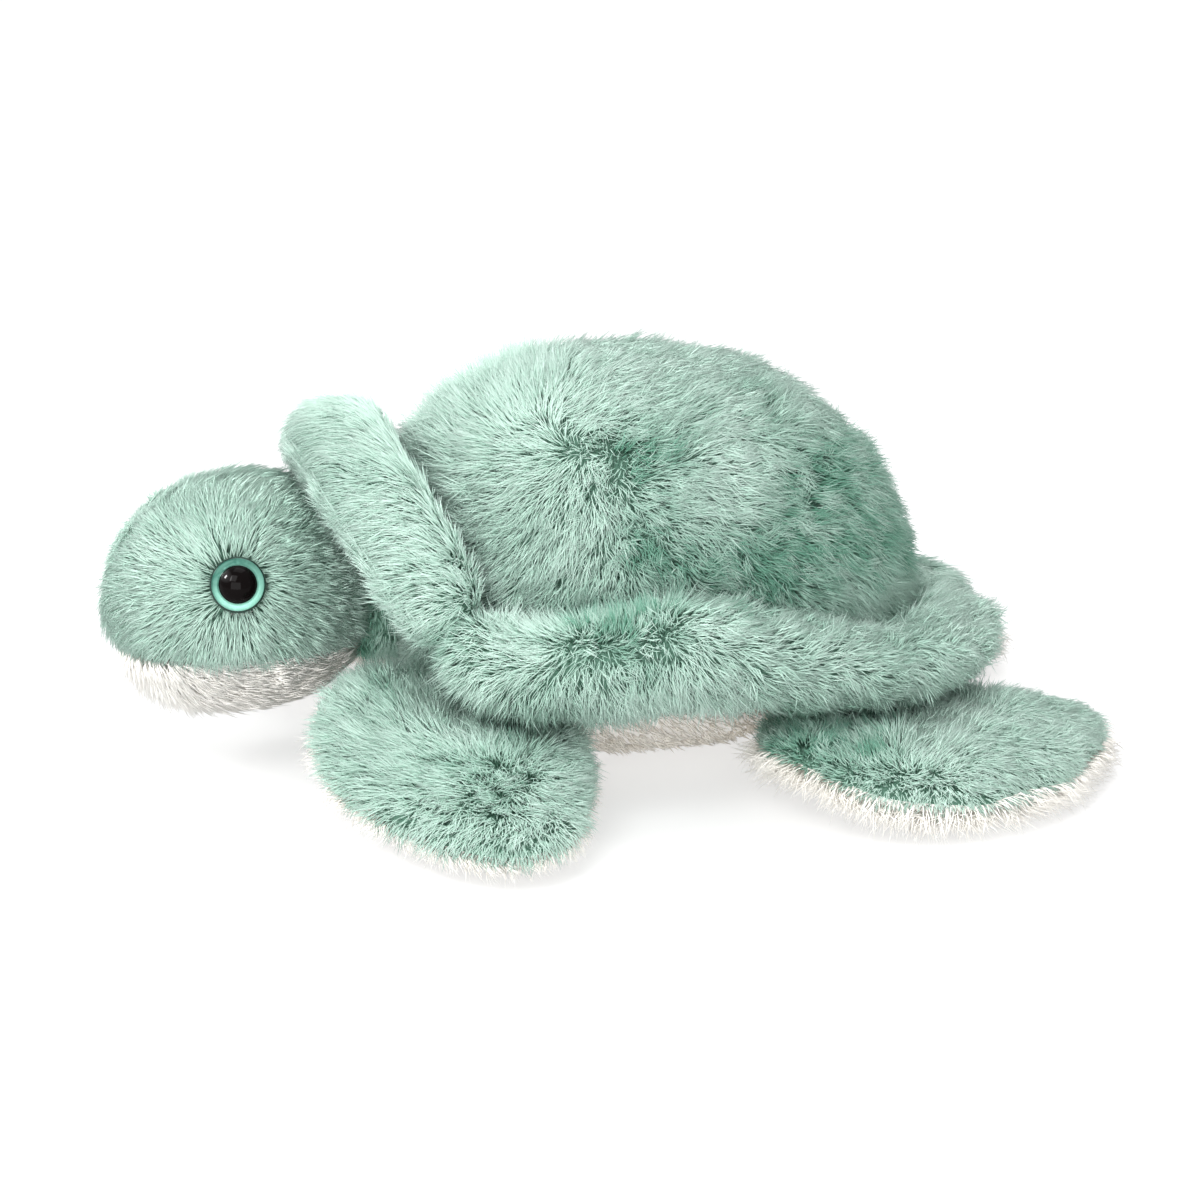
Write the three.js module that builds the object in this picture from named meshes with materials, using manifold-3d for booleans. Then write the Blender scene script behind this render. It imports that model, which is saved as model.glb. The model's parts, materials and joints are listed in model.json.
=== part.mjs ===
// A stuffed sea turtle, lying on its belly with its head towards -X and +Z up.
// Sizes are in millimetres. The origin lies on the table, under the middle of the toy.
import * as THREE from "three";
import Module from "manifold-3d";

const wasm = await Module();
wasm.setup();

// Cloth and gaps. A cover is backing cloth with the pressed foot of its pile.
const coverWall = 3;
const seamGap = 0.3;
const restGap = 0.3;
const overrun = 6;

// The body: a domed back and a shallower belly that meet at the side seam.
const bodyX = 11.7;
const seamHeight = 38;
const domeFront = 63;
const domeRear = 72;
const domeHalfWidth = 58;
const domeRise = 64.5;
const bellyFront = 64;
const bellyRear = 72;
const bellyHalfWidth = 54;
const flatDepth = 0.5;

// The top panel of the shell, seen from above, and the turns of the side seams.
const topPanelX = 8.7;
const topPanelHalfLength = 45;
const topPanelHalfWidth = 38;
const frontSeamTurn = 74;
const rearSeamTurn = 35;

// A flat bag of pellets lies on the belly cloth.
const pouchThickness = 7;

// The stuffed roll round the shell, which stands up as a collar over the neck.
const rollFront = 74;
const rollRear = 84;
const rollHalfWidth = 69;
const collarHeight = 82;
const rollRearHeight = 30.5;
const collarHalfDepth = 12;
const rimHalfDepth = 14.5;
const rimTallHalf = 13;
const rimLowHalf = 7.5;
const collarTurn = 57;

// The stuffed neck is a ball that both the head and the body are hollowed for.
const neckX = -56.3;
const neckHeight = 42;
const neckRadius = 15;
const neckMouthRadius = 9;
const ballGap = 0.7;

// The head, and the seam between its green cover and its white chin. It stands out from the neck.
const neckReach = 32.5;
const headX = neckX - neckReach;
const headHeight = 44.5;
const headHalfLength = 34.5;
const headHalfWidth = 30;
const headHalfHeight = 30.5;
const chinSeamHeight = 34;

// Safety eyes: a domed button on a stem, held by a washer inside the cover.
const eyeForward = 4.5;
const eyeX = headX - eyeForward;
const eyeHeight = 54;
const eyeRadius = 7;
const eyeBulge = 4.5;
const eyeFlange = 1.2;
const eyeSeat = 1;
const stemRadius = 2;
const stemLength = 9.5;
const washerRadius = 7.5;
const washerThickness = 1.5;
const washerSeat = 0.7;

// Both kinds of flipper hang on a rounded root that turns in a socket of the belly. A row of the
// table holds shares: out along the reach, the two edges, the thickness, and the front edge's rise.
const frontFlipper = {
  name: "front",
  x: -35.3,
  y: 34,
  rootHeight: 17.5,
  tipHeight: 8,
  reach: 82,
  halfWidth: 34,
  halfThickness: 7.4,
  rootHalfWidth: 15,
  frontRise: 14,
  yaw: 20,
  lift: 8,
  stationShares: [
    [0.03, -0.74, 0.66, 1, 0.9],
    [0.12, -0.92, 0.8, 1.04, 1],
    [0.25, -1.06, 0.96, 1.06, 0.78],
    [0.42, -1.04, 1.04, 1.06, 0.5],
    [0.62, -0.8, 1.08, 1.05, 0.25],
    [0.8, -0.34, 1.08, 1, 0.1],
    [0.93, 0.1, 0.94, 0.8, 0],
    [0.985, 0.36, 0.74, 0.46, 0],
  ],
  tipShare: 0.56,
};
const rearFlipper = {
  name: "rear",
  x: 56.7,
  y: 36,
  rootHeight: 13,
  tipHeight: 8,
  reach: 70,
  halfWidth: 46,
  halfThickness: 7.4,
  rootHalfWidth: 15,
  frontRise: 5,
  yaw: -30,
  lift: 7,
  stationShares: [
    [0.03, -0.6, 0.5, 1, 0.2],
    [0.14, -0.78, 0.8, 1, 0.6],
    [0.3, -0.9, 1.08, 1, 1],
    [0.5, -0.94, 1.22, 1, 1],
    [0.66, -0.92, 1.16, 1, 0.7],
    [0.8, -0.82, 0.9, 0.98, 0.35],
    [0.92, -0.58, 0.56, 0.84, 0.1],
    [0.985, -0.36, 0.26, 0.5, 0],
  ],
  tipShare: -0.08,
};

// Roundness: how square the plan and the side of a form are. Two is an ellipse.
const domePlanShare = 2.1;
const bellyPlanShare = 2.8;
const domeFrontShare = 2.5;
const domeRearShare = 2.1;
const bellySideShare = 1.85;
const headSideShare = 2.1;
const flipperEdgeShare = 2.4;
const farEdgeShare = 1.1;

// Steps of the curved forms.
const bodySteps = 20;
const bodyRows = 5;
const headSteps = 16;
const headRows = 4;
const ballSteps = 16;
const ballRows = 4;
const rollSides = 8;
const rollSteps = 28;
const flipperSides = 10;
const rootRows = 2;
const socketSteps = 5;
const eyeSteps = 14;
const eyeRows = 3;
const wedgeSteps = 4;

const mint = 0x9fc4b4;
const deepMint = 0x8fb8a6;
const cream = 0xf1ece4;

function material(colour, roughness) {
  return new THREE.MeshStandardMaterial({ color: colour, roughness, metalness: 0 });
}

const mintPlush = material(mint, 0.95);
const deepPlush = material(deepMint, 0.95);
const creamPlush = material(cream, 0.95);
const fibre = material(0xffffff, 1);
const pelletCloth = material(0xd9d4cc, 0.9);
const eyePlastic = material(0x0b1a14, 0.12);
const washerPlastic = material(0xf5f5f0, 0.5);

const group = new THREE.Group();

// A closed skin over rings of points. A ring of one point is a pole, and an open end is closed
// with a fan. The faces are turned so that they point out.
function skin(rings) {
  const all = [...rings];
  if (rings[0].length > 1) {
    all.unshift([middle(rings[0])]);
  }
  if (rings.at(-1).length > 1) {
    all.push([middle(rings.at(-1))]);
  }
  const points = all.flat();
  const faces = [];
  let start = 0;
  for (let row = 0; row + 1 < all.length; row++) {
    joinRings(faces, start, all[row].length, start + all[row].length, all[row + 1].length);
    start += all[row].length;
  }
  if (signedVolume(points, faces) < 0) {
    faces.reverse();
  }
  const vertProperties = new Float32Array(points.flatMap((point) => point.toArray()));
  const triVerts = new Uint32Array(faces);
  return new wasm.Manifold(new wasm.Mesh({ numProp: 3, vertProperties, triVerts }));
}

function signedVolume(points, faces) {
  let sum = 0;
  for (let i = 0; i < faces.length; i += 3) {
    const [a, b, c] = [points[faces[i]], points[faces[i + 1]], points[faces[i + 2]]];
    sum += a.dot(new THREE.Vector3().crossVectors(b, c));
  }
  return sum;
}

function joinRings(faces, first, firstCount, second, secondCount) {
  const count = Math.max(firstCount, secondCount);
  for (let i = 0; i < count; i++) {
    const j = (i + 1) % count;
    const a = first + (i % firstCount);
    const b = first + (j % firstCount);
    const c = second + (i % secondCount);
    const d = second + (j % secondCount);
    if (firstCount > 1) {
      faces.push(a, b, c);
    }
    if (secondCount > 1) {
      faces.push(b, d, c);
    }
  }
}

function middle(ring) {
  const sum = new THREE.Vector3();
  ring.forEach((point) => sum.add(point));
  return sum.divideScalar(ring.length);
}

// A number raised to a power with its sign kept, as a superellipse needs.
function bend(value, power) {
  return Math.sign(value) * Math.abs(value) ** (2 / power);
}

// A pillow: a solid with its own reach to the front, rear, sides, top and bottom. One that is
// pressed flat ends at its lowest ring.
function pillow(form, grow = 0) {
  const rings = [[new THREE.Vector3(form.x, 0, form.z + form.rise + grow)]];
  const rows = 2 * form.rows;
  for (let row = 1; row < rows; row++) {
    const climb = (0.5 - row / rows) * Math.PI;
    const ring = [];
    for (let i = 0; i < form.steps; i++) {
      ring.push(pillowPoint(form, grow, climb, (2 * Math.PI * i) / form.steps));
    }
    rings.push(ring);
  }
  if (!form.pressed) {
    rings.push([new THREE.Vector3(form.x, 0, form.z - form.drop - grow)]);
  }
  return skin(rings);
}

function pillowPoint(form, grow, climb, turn) {
  const rising = climb > 0;
  const toRear = (1 + Math.cos(turn)) / 2;
  const side = rising ? THREE.MathUtils.lerp(form.frontShare, form.rearShare, toRear) : form.dropShare;
  const high = (rising ? form.rise : form.drop) + grow;
  const out = bend(Math.cos(climb), side);
  const along = bend(Math.cos(turn), form.planShare);
  const across = bend(Math.sin(turn), form.planShare);
  const length = (along > 0 ? form.rear : form.front) + grow;
  return new THREE.Vector3(
    form.x + out * along * length,
    out * across * (form.width + grow),
    form.z + high * bend(Math.sin(climb), side),
  );
}

// An upright prism over an outline that is seen whole from its middle.
function prism(outline, low, high) {
  const bottom = outline.map(([x, y]) => new THREE.Vector3(x, y, low));
  const top = outline.map(([x, y]) => new THREE.Vector3(x, y, high));
  return skin([bottom, top]);
}

function box(lowX, highX, halfY, low, high) {
  return prism(
    [
      [lowX, -halfY],
      [highX, -halfY],
      [highX, halfY],
      [lowX, halfY],
    ],
    low,
    high,
  );
}

function ellipse(x, halfLength, halfWidth, steps) {
  const points = [];
  for (let i = 0; i < steps; i++) {
    const turn = (2 * Math.PI * i) / steps;
    points.push([x + halfLength * Math.cos(turn), halfWidth * Math.sin(turn)]);
  }
  return points;
}

// A wedge seen from above, which faces one way and stays half a seam away from its neighbours.
function wedgeOutline(x, facing, half, length) {
  const ahead = THREE.MathUtils.degToRad(facing);
  const side = THREE.MathUtils.degToRad(half);
  const lead = seamGap / 2 / Math.sin(side);
  const apex = [x + lead * Math.cos(ahead), lead * Math.sin(ahead)];
  const points = [apex];
  for (let i = 0; i <= wedgeSteps; i++) {
    const turn = ahead - side + (2 * side * i) / wedgeSteps;
    points.push([apex[0] + length * Math.cos(turn), apex[1] + length * Math.sin(turn)]);
  }
  return points;
}

function ball(x, z, radius) {
  return pillow({
    x,
    z,
    front: radius,
    rear: radius,
    width: radius,
    rise: radius,
    drop: radius,
    planShare: 2,
    frontShare: 2,
    rearShare: 2,
    dropShare: 2,
    steps: ballSteps,
    rows: ballRows,
  });
}

function addPiece(name, solid, look) {
  const mesh = solid.getMesh();
  const geometry = new THREE.BufferGeometry();
  geometry.setAttribute("position", new THREE.BufferAttribute(mesh.vertProperties, 3));
  geometry.setIndex(new THREE.BufferAttribute(mesh.triVerts, 1));
  const piece = new THREE.Mesh(geometry, look);
  piece.name = name;
  group.add(piece);
}

// The body's forms. The lowest ring of the belly lies just under the table, which presses it flat.
const lowestRingShare = bend(Math.cos(Math.PI / (2 * bodyRows)), bellySideShare);
const domeForm = {
  x: bodyX,
  z: seamHeight,
  front: domeFront,
  rear: domeRear,
  width: domeHalfWidth,
  rise: domeRise,
  drop: (seamHeight + flatDepth) / lowestRingShare,
  pressed: true,
  planShare: domePlanShare,
  frontShare: domeFrontShare,
  rearShare: domeRearShare,
  dropShare: bellySideShare,
  steps: bodySteps,
  rows: bodyRows,
};
const bellyForm = {
  ...domeForm,
  front: bellyFront,
  rear: bellyRear,
  width: bellyHalfWidth,
  planShare: bellyPlanShare,
};
const wide = rollRear + domeRear;
const tall = seamHeight + domeRise + overrun;
const aboveSeam = box(-wide, wide, wide, seamHeight + seamGap / 2, tall);
const belowSeam = box(-wide, wide, wide, 0, seamHeight - seamGap / 2);

function dome(grow) {
  return pillow(domeForm, grow).intersect(aboveSeam);
}

function belly(grow) {
  return pillow(bellyForm, grow).intersect(belowSeam);
}

// A flipper's own directions: out from the body, along its root, and up.
function flipperPlace(flipper, side) {
  const turn = THREE.MathUtils.degToRad(flipper.yaw);
  const out = new THREE.Vector3(-Math.sin(turn), -side * Math.cos(turn), 0);
  const along = new THREE.Vector3(Math.cos(turn), -side * Math.sin(turn), 0);
  const root = new THREE.Vector3(flipper.x, -side * flipper.y, flipper.rootHeight);
  return (s, v, z) =>
    root.clone().addScaledVector(out, s).addScaledVector(along, v).add(new THREE.Vector3(0, 0, z));
}

function riseShare(flipper, out) {
  const rows = flipper.stationShares.map((row) => [row[0], row.at(-1)]);
  const stops = [[0, 0], ...rows, [1, 0]];
  const next = stops.findIndex(([place]) => place > out);
  if (out <= 0 || next < 0) {
    return 0;
  }
  const [[from, low], [to, high]] = [stops[next - 1], stops[next]];
  return THREE.MathUtils.mapLinear(out, from, to, low, high);
}

// How far the middle of a flipper lies above its root. It falls towards the tip, and its front
// edge rises beside the head.
function flipperLevel(flipper, s, v) {
  const fall = ((flipper.tipHeight - flipper.rootHeight) * Math.max(s, 0)) / flipper.reach;
  const front = THREE.MathUtils.clamp(-v / flipper.halfWidth, 0, farEdgeShare);
  return fall + front * flipper.frontRise * riseShare(flipper, s / flipper.reach);
}

function flipperRing(flipper, place, s, low, high, half) {
  const ring = [];
  for (let i = 0; i < flipperSides; i++) {
    const turn = (2 * Math.PI * (i + 0.5)) / flipperSides;
    const v = (low + high) / 2 + ((high - low) / 2) * bend(Math.cos(turn), flipperEdgeShare);
    const z = flipperLevel(flipper, s, v) + half * bend(Math.sin(turn), flipperEdgeShare);
    ring.push(place(s, v, z));
  }
  return ring;
}

// The stuffed paddle, drawn in all round by inset.
function paddle(flipper, side, inset) {
  const place = flipperPlace(flipper, side);
  const radius = flipper.halfThickness - inset;
  const root = flipper.rootHalfWidth - inset;
  const rings = [[place(-radius, 0, 0)]];
  for (let row = 1; row <= rootRows; row++) {
    const climb = (Math.PI / 2) * (row / rootRows);
    const share = 1 - ((1 - Math.sin(climb)) * radius) / flipper.rootHalfWidth;
    const s = -radius * Math.cos(climb);
    rings.push(flipperRing(flipper, place, s, -root * share, root * share, radius * Math.sin(climb)));
  }
  const least = inset > 0 ? coverWall + 2 * restGap : 0;
  for (const [out, low, high, thick] of flipper.stationShares) {
    const s = out * (flipper.reach - inset);
    const half = thick * flipper.halfThickness;
    if (half > least) {
      const from = low * flipper.halfWidth + inset;
      const to = high * flipper.halfWidth - inset;
      rings.push(flipperRing(flipper, place, s, from, to, half - inset));
    }
  }
  const tip = flipper.reach - inset;
  const tipMiddle = flipper.tipShare * flipper.halfWidth;
  rings.push([place(tip, tipMiddle, flipperLevel(flipper, tip, tipMiddle))]);
  return skin(rings);
}

// A slab above or below the seam that runs round a flipper's edge.
function flipperHalf(flipper, side, up) {
  const place = flipperPlace(flipper, side);
  const reach = flipper.reach + overrun;
  const width = flipper.halfWidth + flipper.reach;
  const near = (up * seamGap) / 2;
  const far = up * (flipper.rootHeight + flipper.frontRise + overrun);
  const start = -flipper.halfThickness - overrun;
  const stops = flipper.stationShares.map(([out]) => out * flipper.reach);
  const level = (v) => {
    const seam = [start, 0, ...stops, reach].map((s) => place(s, v, near + flipperLevel(flipper, s, v)));
    return [...seam, place(reach, v, far), place(start, v, far)];
  };
  return skin([-width, -farEdgeShare * flipper.halfWidth, 0, width].map(level));
}

// The room that a flipper's root needs in the body as it lifts. It widens outwards with the paddle.
function flipperSocket(flipper, side) {
  const place = flipperPlace(flipper, side);
  const radius = flipper.halfThickness + 2 * restGap;
  const lift = Math.tan(THREE.MathUtils.degToRad(flipper.lift));
  const out = flipper.rootHalfWidth + overrun;
  const width = flipper.rootHalfWidth + restGap + flipper.halfThickness / 2;
  const mouth = flipper.halfWidth + restGap;
  const rise = (s, v) => flipperLevel(flipper, s, v) - flipperLevel(flipper, s, 0);
  const first = flipper.stationShares[0][0] * flipper.reach;
  const level = (way) => {
    const points = [place(0, way * width, radius + rise(first, way * width))];
    for (let i = 1; i <= socketSteps; i++) {
      const turn = Math.PI * (0.5 + i / socketSteps);
      points.push(place(radius * Math.cos(turn), way * width, radius * Math.sin(turn)));
    }
    const roof = radius + rise(out, way * mouth) + out * lift + restGap;
    points.push(place(out, way * mouth, -radius + flipperLevel(flipper, out, 0)));
    points.push(place(out, way * mouth, roof));
    return points;
  };
  return skin([level(-1), level(1)]);
}

const flippers = [frontFlipper, rearFlipper];
const sides = [
  ["left", 1],
  ["right", -1],
];
const sockets = flippers.flatMap((flipper) => sides.map(([, side]) => flipperSocket(flipper, side)));
const neckHollow = ball(neckX, neckHeight, neckRadius + ballGap);

function cutAll(solid, cutters) {
  return cutters.reduce((rest, cutter) => rest.subtract(cutter), solid);
}

// The shell's five fur panels over the dome.
function addShell() {
  const cloth = dome(0).subtract(dome(-coverWall)).subtract(neckHollow);
  const top = ellipse(topPanelX, topPanelHalfLength, topPanelHalfWidth, bodySteps);
  const topHole = ellipse(
    topPanelX,
    topPanelHalfLength + seamGap,
    topPanelHalfWidth + seamGap,
    bodySteps,
  );
  const half = seamHeight + domeRise / 2;
  addPiece("shell_top_panel", cloth.intersect(prism(top, half, tall)), mintPlush);
  const skirt = cloth.subtract(prism(topHole, half, tall));
  const sideTurn = (frontSeamTurn + 180 - rearSeamTurn) / 2;
  const sideHalf = (180 - rearSeamTurn - frontSeamTurn) / 2;
  const panels = [
    ["shell_front_panel", 180, frontSeamTurn],
    ["shell_left_panel", 180 + sideTurn, sideHalf],
    ["shell_right_panel", 180 - sideTurn, sideHalf],
    ["shell_rear_panel", 0, rearSeamTurn],
  ];
  for (const [name, facing, halfTurn] of panels) {
    const wedge = prism(wedgeOutline(topPanelX, facing, halfTurn, wide), 0, tall);
    addPiece(name, skirt.intersect(wedge), mintPlush);
  }
}

// The white belly, its stuffing and the pellet bag that weighs the toy down.
function addBelly() {
  const cutters = [...sockets, neckHollow];
  const cloth = belly(0).subtract(belly(-coverWall).intersect(bellyRoom()));
  addPiece("belly_panel", cutAll(cloth, cutters), creamPlush);
  const pouchLow = coverWall + restGap;
  const pouchTop = pouchLow + pouchThickness;
  const inside = belly(-coverWall - restGap);
  addPiece("pellet_pouch", inside.intersect(box(-wide, wide, wide, pouchLow, pouchTop)), pelletCloth);
  const above = box(-wide, wide, wide, pouchTop + restGap, tall);
  const stuffing = dome(-coverWall - restGap).add(joinSlab()).add(inside.intersect(above));
  addPiece("body_stuffing", cutAll(stuffing, cutters), fibre);
}

// The inside of the belly cloth starts one wall above the table.
function bellyRoom() {
  return box(-wide, wide, wide, coverWall, tall);
}

// The thin layer of stuffing at the side seam, where the two halves of the body meet.
function joinSlab() {
  const inset = -coverWall - restGap;
  const layer = pillow(domeForm, inset).intersect(pillow(bellyForm, inset));
  return layer.intersect(box(-wide, wide, wide, seamHeight - seamGap, seamHeight + seamGap));
}

// The roll. Each station gives its place as shares of the roll's reach to the front or rear, of
// its half width and of the climb to the collar, then how deep and how tall the roll is there.
const rollStationShares = [
  [-1, 0, 1, 0, 0.27],
  [-0.965, 0.31, 0.9, 0, 0.27],
  [-0.866, 0.56, 0.64, 0.05, 0.28],
  [-0.75, 0.73, 0.34, 0.2, 0.34],
  [-0.59, 0.84, 0.13, 0.7, 0.44],
  [-0.304, 0.98, 0.15, 0.85, 0.75],
  [0.025, 1.01, 0.21, 1, 0.9],
  [0.332, 0.97, 0.12, 0.95, 0.55],
  [0.617, 0.82, 0.03, 0.9, 0.2],
  [0.857, 0.52, 0, 0.85, 0],
  [1, 0, 0, 0.85, 0],
];

function rollCurves() {
  const stations = [...rollStationShares];
  for (const [along, across, ...rest] of rollStationShares.slice(1, -1).reverse()) {
    stations.push([along, -across, ...rest]);
  }
  const places = stations.map(([along, across, climb]) => {
    const x = bodyX + along * (along > 0 ? rollRear : rollFront);
    const z = rollRearHeight + climb * (collarHeight - rollRearHeight);
    return new THREE.Vector3(x, -across * rollHalfWidth, z);
  });
  const sizes = stations.map(([, , , deep, high]) => {
    const depth = collarHalfDepth + deep * (rimHalfDepth - collarHalfDepth);
    return new THREE.Vector3(depth, rimLowHalf + high * (rimTallHalf - rimLowHalf), 0);
  });
  return [
    new THREE.CatmullRomCurve3(places, true, "catmullrom"),
    new THREE.CatmullRomCurve3(sizes, true, "catmullrom"),
  ];
}

const [rollLine, rollSizes] = rollCurves();
const up = new THREE.Vector3(0, 0, 1);

function rollRing(way, inset) {
  const share = THREE.MathUtils.euclideanModulo(way, 1);
  const centre = rollLine.getPoint(share);
  const ahead = rollLine.getTangent(share);
  const size = rollSizes.getPoint(share);
  const flat = new THREE.Vector3(ahead.x, ahead.y, 0).normalize();
  const outward = new THREE.Vector3().crossVectors(flat, up).normalize();
  const upward = new THREE.Vector3().crossVectors(outward, ahead).normalize();
  const ring = [];
  for (let i = 0; i < rollSides; i++) {
    const turn = (2 * Math.PI * i) / rollSides;
    const point = centre.clone();
    point.addScaledVector(outward, (size.x - inset) * Math.cos(turn));
    point.addScaledVector(upward, (size.y - inset) * Math.sin(turn));
    ring.push(point);
  }
  return ring;
}

// The part of the roll between two shares of its way round.
function rollSolid(from, to, inset) {
  const count = Math.round((to - from) * rollSteps);
  const rings = [];
  for (let i = 0; i <= count; i++) {
    rings.push(rollRing(from + ((to - from) * i) / count, inset));
  }
  return skin(rings);
}

function bodyGrown(grow) {
  return pillow(domeForm, grow).add(pillow(bellyForm, grow));
}

function addRoll() {
  const length = rollLine.getLength();
  const gapShare = seamGap / 2 / length;
  const collarShare = collarTurn / 360;
  const parts = [
    ["collar", -collarShare, collarShare],
    ["rim_left", collarShare, 0.5],
    ["rim_right", 0.5, 1 - collarShare],
  ];
  for (const [name, start, end] of parts) {
    const from = start + gapShare;
    const to = end - gapShare;
    const outer = rollSolid(from, to, 0).subtract(bodyGrown(restGap));
    const room = rollSolid(from - gapShare, to + gapShare, coverWall);
    const hollow = room.subtract(bodyGrown(restGap + coverWall));
    addPiece(`${name}_cover`, outer.subtract(hollow), deepPlush);
    const core = rollSolid(from, to, coverWall + restGap);
    addPiece(`${name}_stuffing`, core.subtract(bodyGrown(coverWall + 2 * restGap)), fibre);
  }
}

// The eyes look out along the normal of the head where they sit.
const headForm = {
  x: headX,
  z: headHeight,
  front: headHalfLength,
  rear: headHalfLength,
  width: headHalfWidth,
  rise: headHalfHeight,
  drop: headHalfHeight,
  planShare: 2,
  frontShare: headSideShare,
  rearShare: headSideShare,
  dropShare: headSideShare,
  steps: headSteps,
  rows: headRows,
};

function eyePlace(side) {
  const forward = (eyeX - headX) / headHalfLength;
  const high = (eyeHeight - headHeight) / headHalfHeight;
  const across = Math.sqrt(1 - forward ** 2 - high ** 2);
  const point = new THREE.Vector3(eyeX, -side * across * headHalfWidth, eyeHeight);
  const normal = new THREE.Vector3(
    forward / headHalfLength,
    (-side * across) / headHalfWidth,
    high / headHalfHeight,
  );
  return [point, normal.normalize()];
}

function turned(profile, side, steps) {
  const [point, normal] = eyePlace(side);
  const turn = new THREE.Quaternion().setFromUnitVectors(up, normal);
  const rings = profile.map(([radius, high]) => {
    if (radius === 0) {
      return [new THREE.Vector3(0, 0, high).applyQuaternion(turn).add(point)];
    }
    return ellipse(0, radius, radius, steps).map(([x, y]) =>
      new THREE.Vector3(x, y, high).applyQuaternion(turn).add(point),
    );
  });
  return skin(rings);
}

function eyeProfile() {
  const base = -eyeSeat;
  const profile = [
    [0, base - stemLength],
    [stemRadius, base - stemLength],
    [stemRadius, base],
    [eyeRadius, base],
    [eyeRadius, base + eyeFlange],
  ];
  for (let row = 1; row < eyeRows; row++) {
    const climb = (Math.PI / 2) * (row / eyeRows);
    profile.push([eyeRadius * Math.cos(climb), base + eyeFlange + eyeBulge * Math.sin(climb)]);
  }
  profile.push([0, base + eyeFlange + eyeBulge]);
  return profile;
}

function disc(radius, low, high, side, steps) {
  return turned(
    [
      [0, low],
      [radius, low],
      [radius, high],
      [0, high],
    ],
    side,
    steps,
  );
}

// How far the flat washer has to lie below the round cover to be clear of it.
function washerSag() {
  const radius = headHalfWidth - coverWall;
  return radius - Math.sqrt(radius ** 2 - washerRadius ** 2);
}

function addHead() {
  const outer = pillow(headForm);
  const inner = pillow(headForm, -coverWall);
  const stuffing = pillow(headForm, -coverWall - restGap);
  const inside = -coverWall - washerSeat - washerSag();
  const seats = sides.map(([, side]) =>
    disc(eyeRadius + restGap, -eyeSeat - restGap, eyeBulge + eyeFlange + overrun, side, eyeSteps),
  );
  const stems = sides.map(([, side]) =>
    disc(stemRadius + restGap, -eyeSeat - stemLength - restGap, 0, side, eyeSteps / 2),
  );
  const pockets = sides.map(([, side]) =>
    disc(washerRadius + restGap, inside - washerThickness - 2 * restGap, 0, side, eyeSteps),
  );
  const cloth = cutAll(outer.subtract(inner), [neckHollow, ...seats, ...stems]);
  const high = headHeight + headHalfHeight + overrun;
  const over = box(-wide, 0, wide, chinSeamHeight + seamGap / 2, high);
  const under = box(-wide, 0, wide, 0, chinSeamHeight - seamGap / 2);
  addPiece("head_cover", cloth.intersect(over), mintPlush);
  addPiece("chin_panel", cloth.intersect(under), creamPlush);
  addPiece("head_stuffing", cutAll(stuffing, [neckHollow, ...stems, ...pockets]), fibre);
  for (const [word, side] of sides) {
    addPiece(`eye_${word}`, turned(eyeProfile(), side, eyeSteps), eyePlastic);
    const washer = disc(washerRadius, inside - washerThickness, inside, side, eyeSteps);
    const bore = disc(stemRadius + restGap, inside - overrun, overrun, side, eyeSteps / 2);
    addPiece(`eye_washer_${word}`, washer.subtract(bore), washerPlastic);
  }
}

// The neck's cover is open towards the head and the body, where its stuffing runs through.
function addNeck() {
  const reach = neckRadius + overrun;
  const outline = [];
  for (let i = 0; i < ballSteps; i++) {
    const turn = (2 * Math.PI * i) / ballSteps;
    outline.push([neckMouthRadius * Math.cos(turn), neckMouthRadius * Math.sin(turn)]);
  }
  const level = (x) => outline.map(([y, z]) => new THREE.Vector3(x, y, neckHeight + z));
  const mouth = skin([level(neckX - reach), level(neckX + reach)]);
  const cover = ball(neckX, neckHeight, neckRadius);
  const room = ball(neckX, neckHeight, neckRadius - coverWall);
  addPiece("neck_cover", cover.subtract(room).subtract(mouth), mintPlush);
  addPiece("neck_stuffing", ball(neckX, neckHeight, neckRadius - coverWall - restGap), fibre);
}

function addFlippers() {
  for (const flipper of flippers) {
    for (const [word, side] of sides) {
      const name = `${flipper.name}_flipper_${word}`;
      const cloth = paddle(flipper, side, 0).subtract(paddle(flipper, side, coverWall));
      addPiece(`${name}_top`, cloth.intersect(flipperHalf(flipper, side, 1)), mintPlush);
      addPiece(`${name}_bottom`, cloth.intersect(flipperHalf(flipper, side, -1)), creamPlush);
      addPiece(`${name}_stuffing`, paddle(flipper, side, coverWall + restGap), fibre);
    }
  }
}

addShell();
addBelly();
addRoll();
addHead();
addNeck();
addFlippers();

export default group;
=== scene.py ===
# %% [markdown]
# A stuffed sea turtle in long-pile plush, lying on its belly. Under the pile it is a set of sewn
# bags full of fibre: a domed shell, a fat roll round it that stands up as a collar, a ball of a
# head and four flippers. This file makes each bag as a closed skin, grows the pile on it strand
# by strand, and sets two safety eyes. All lengths in the forms are millimetres.

# %% Load the frame
import json
import math

import bpy
import numpy as np
from mathutils import Matrix, Vector
from mathutils.bvhtree import BVHTree
from mathutils.kdtree import KDTree


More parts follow.
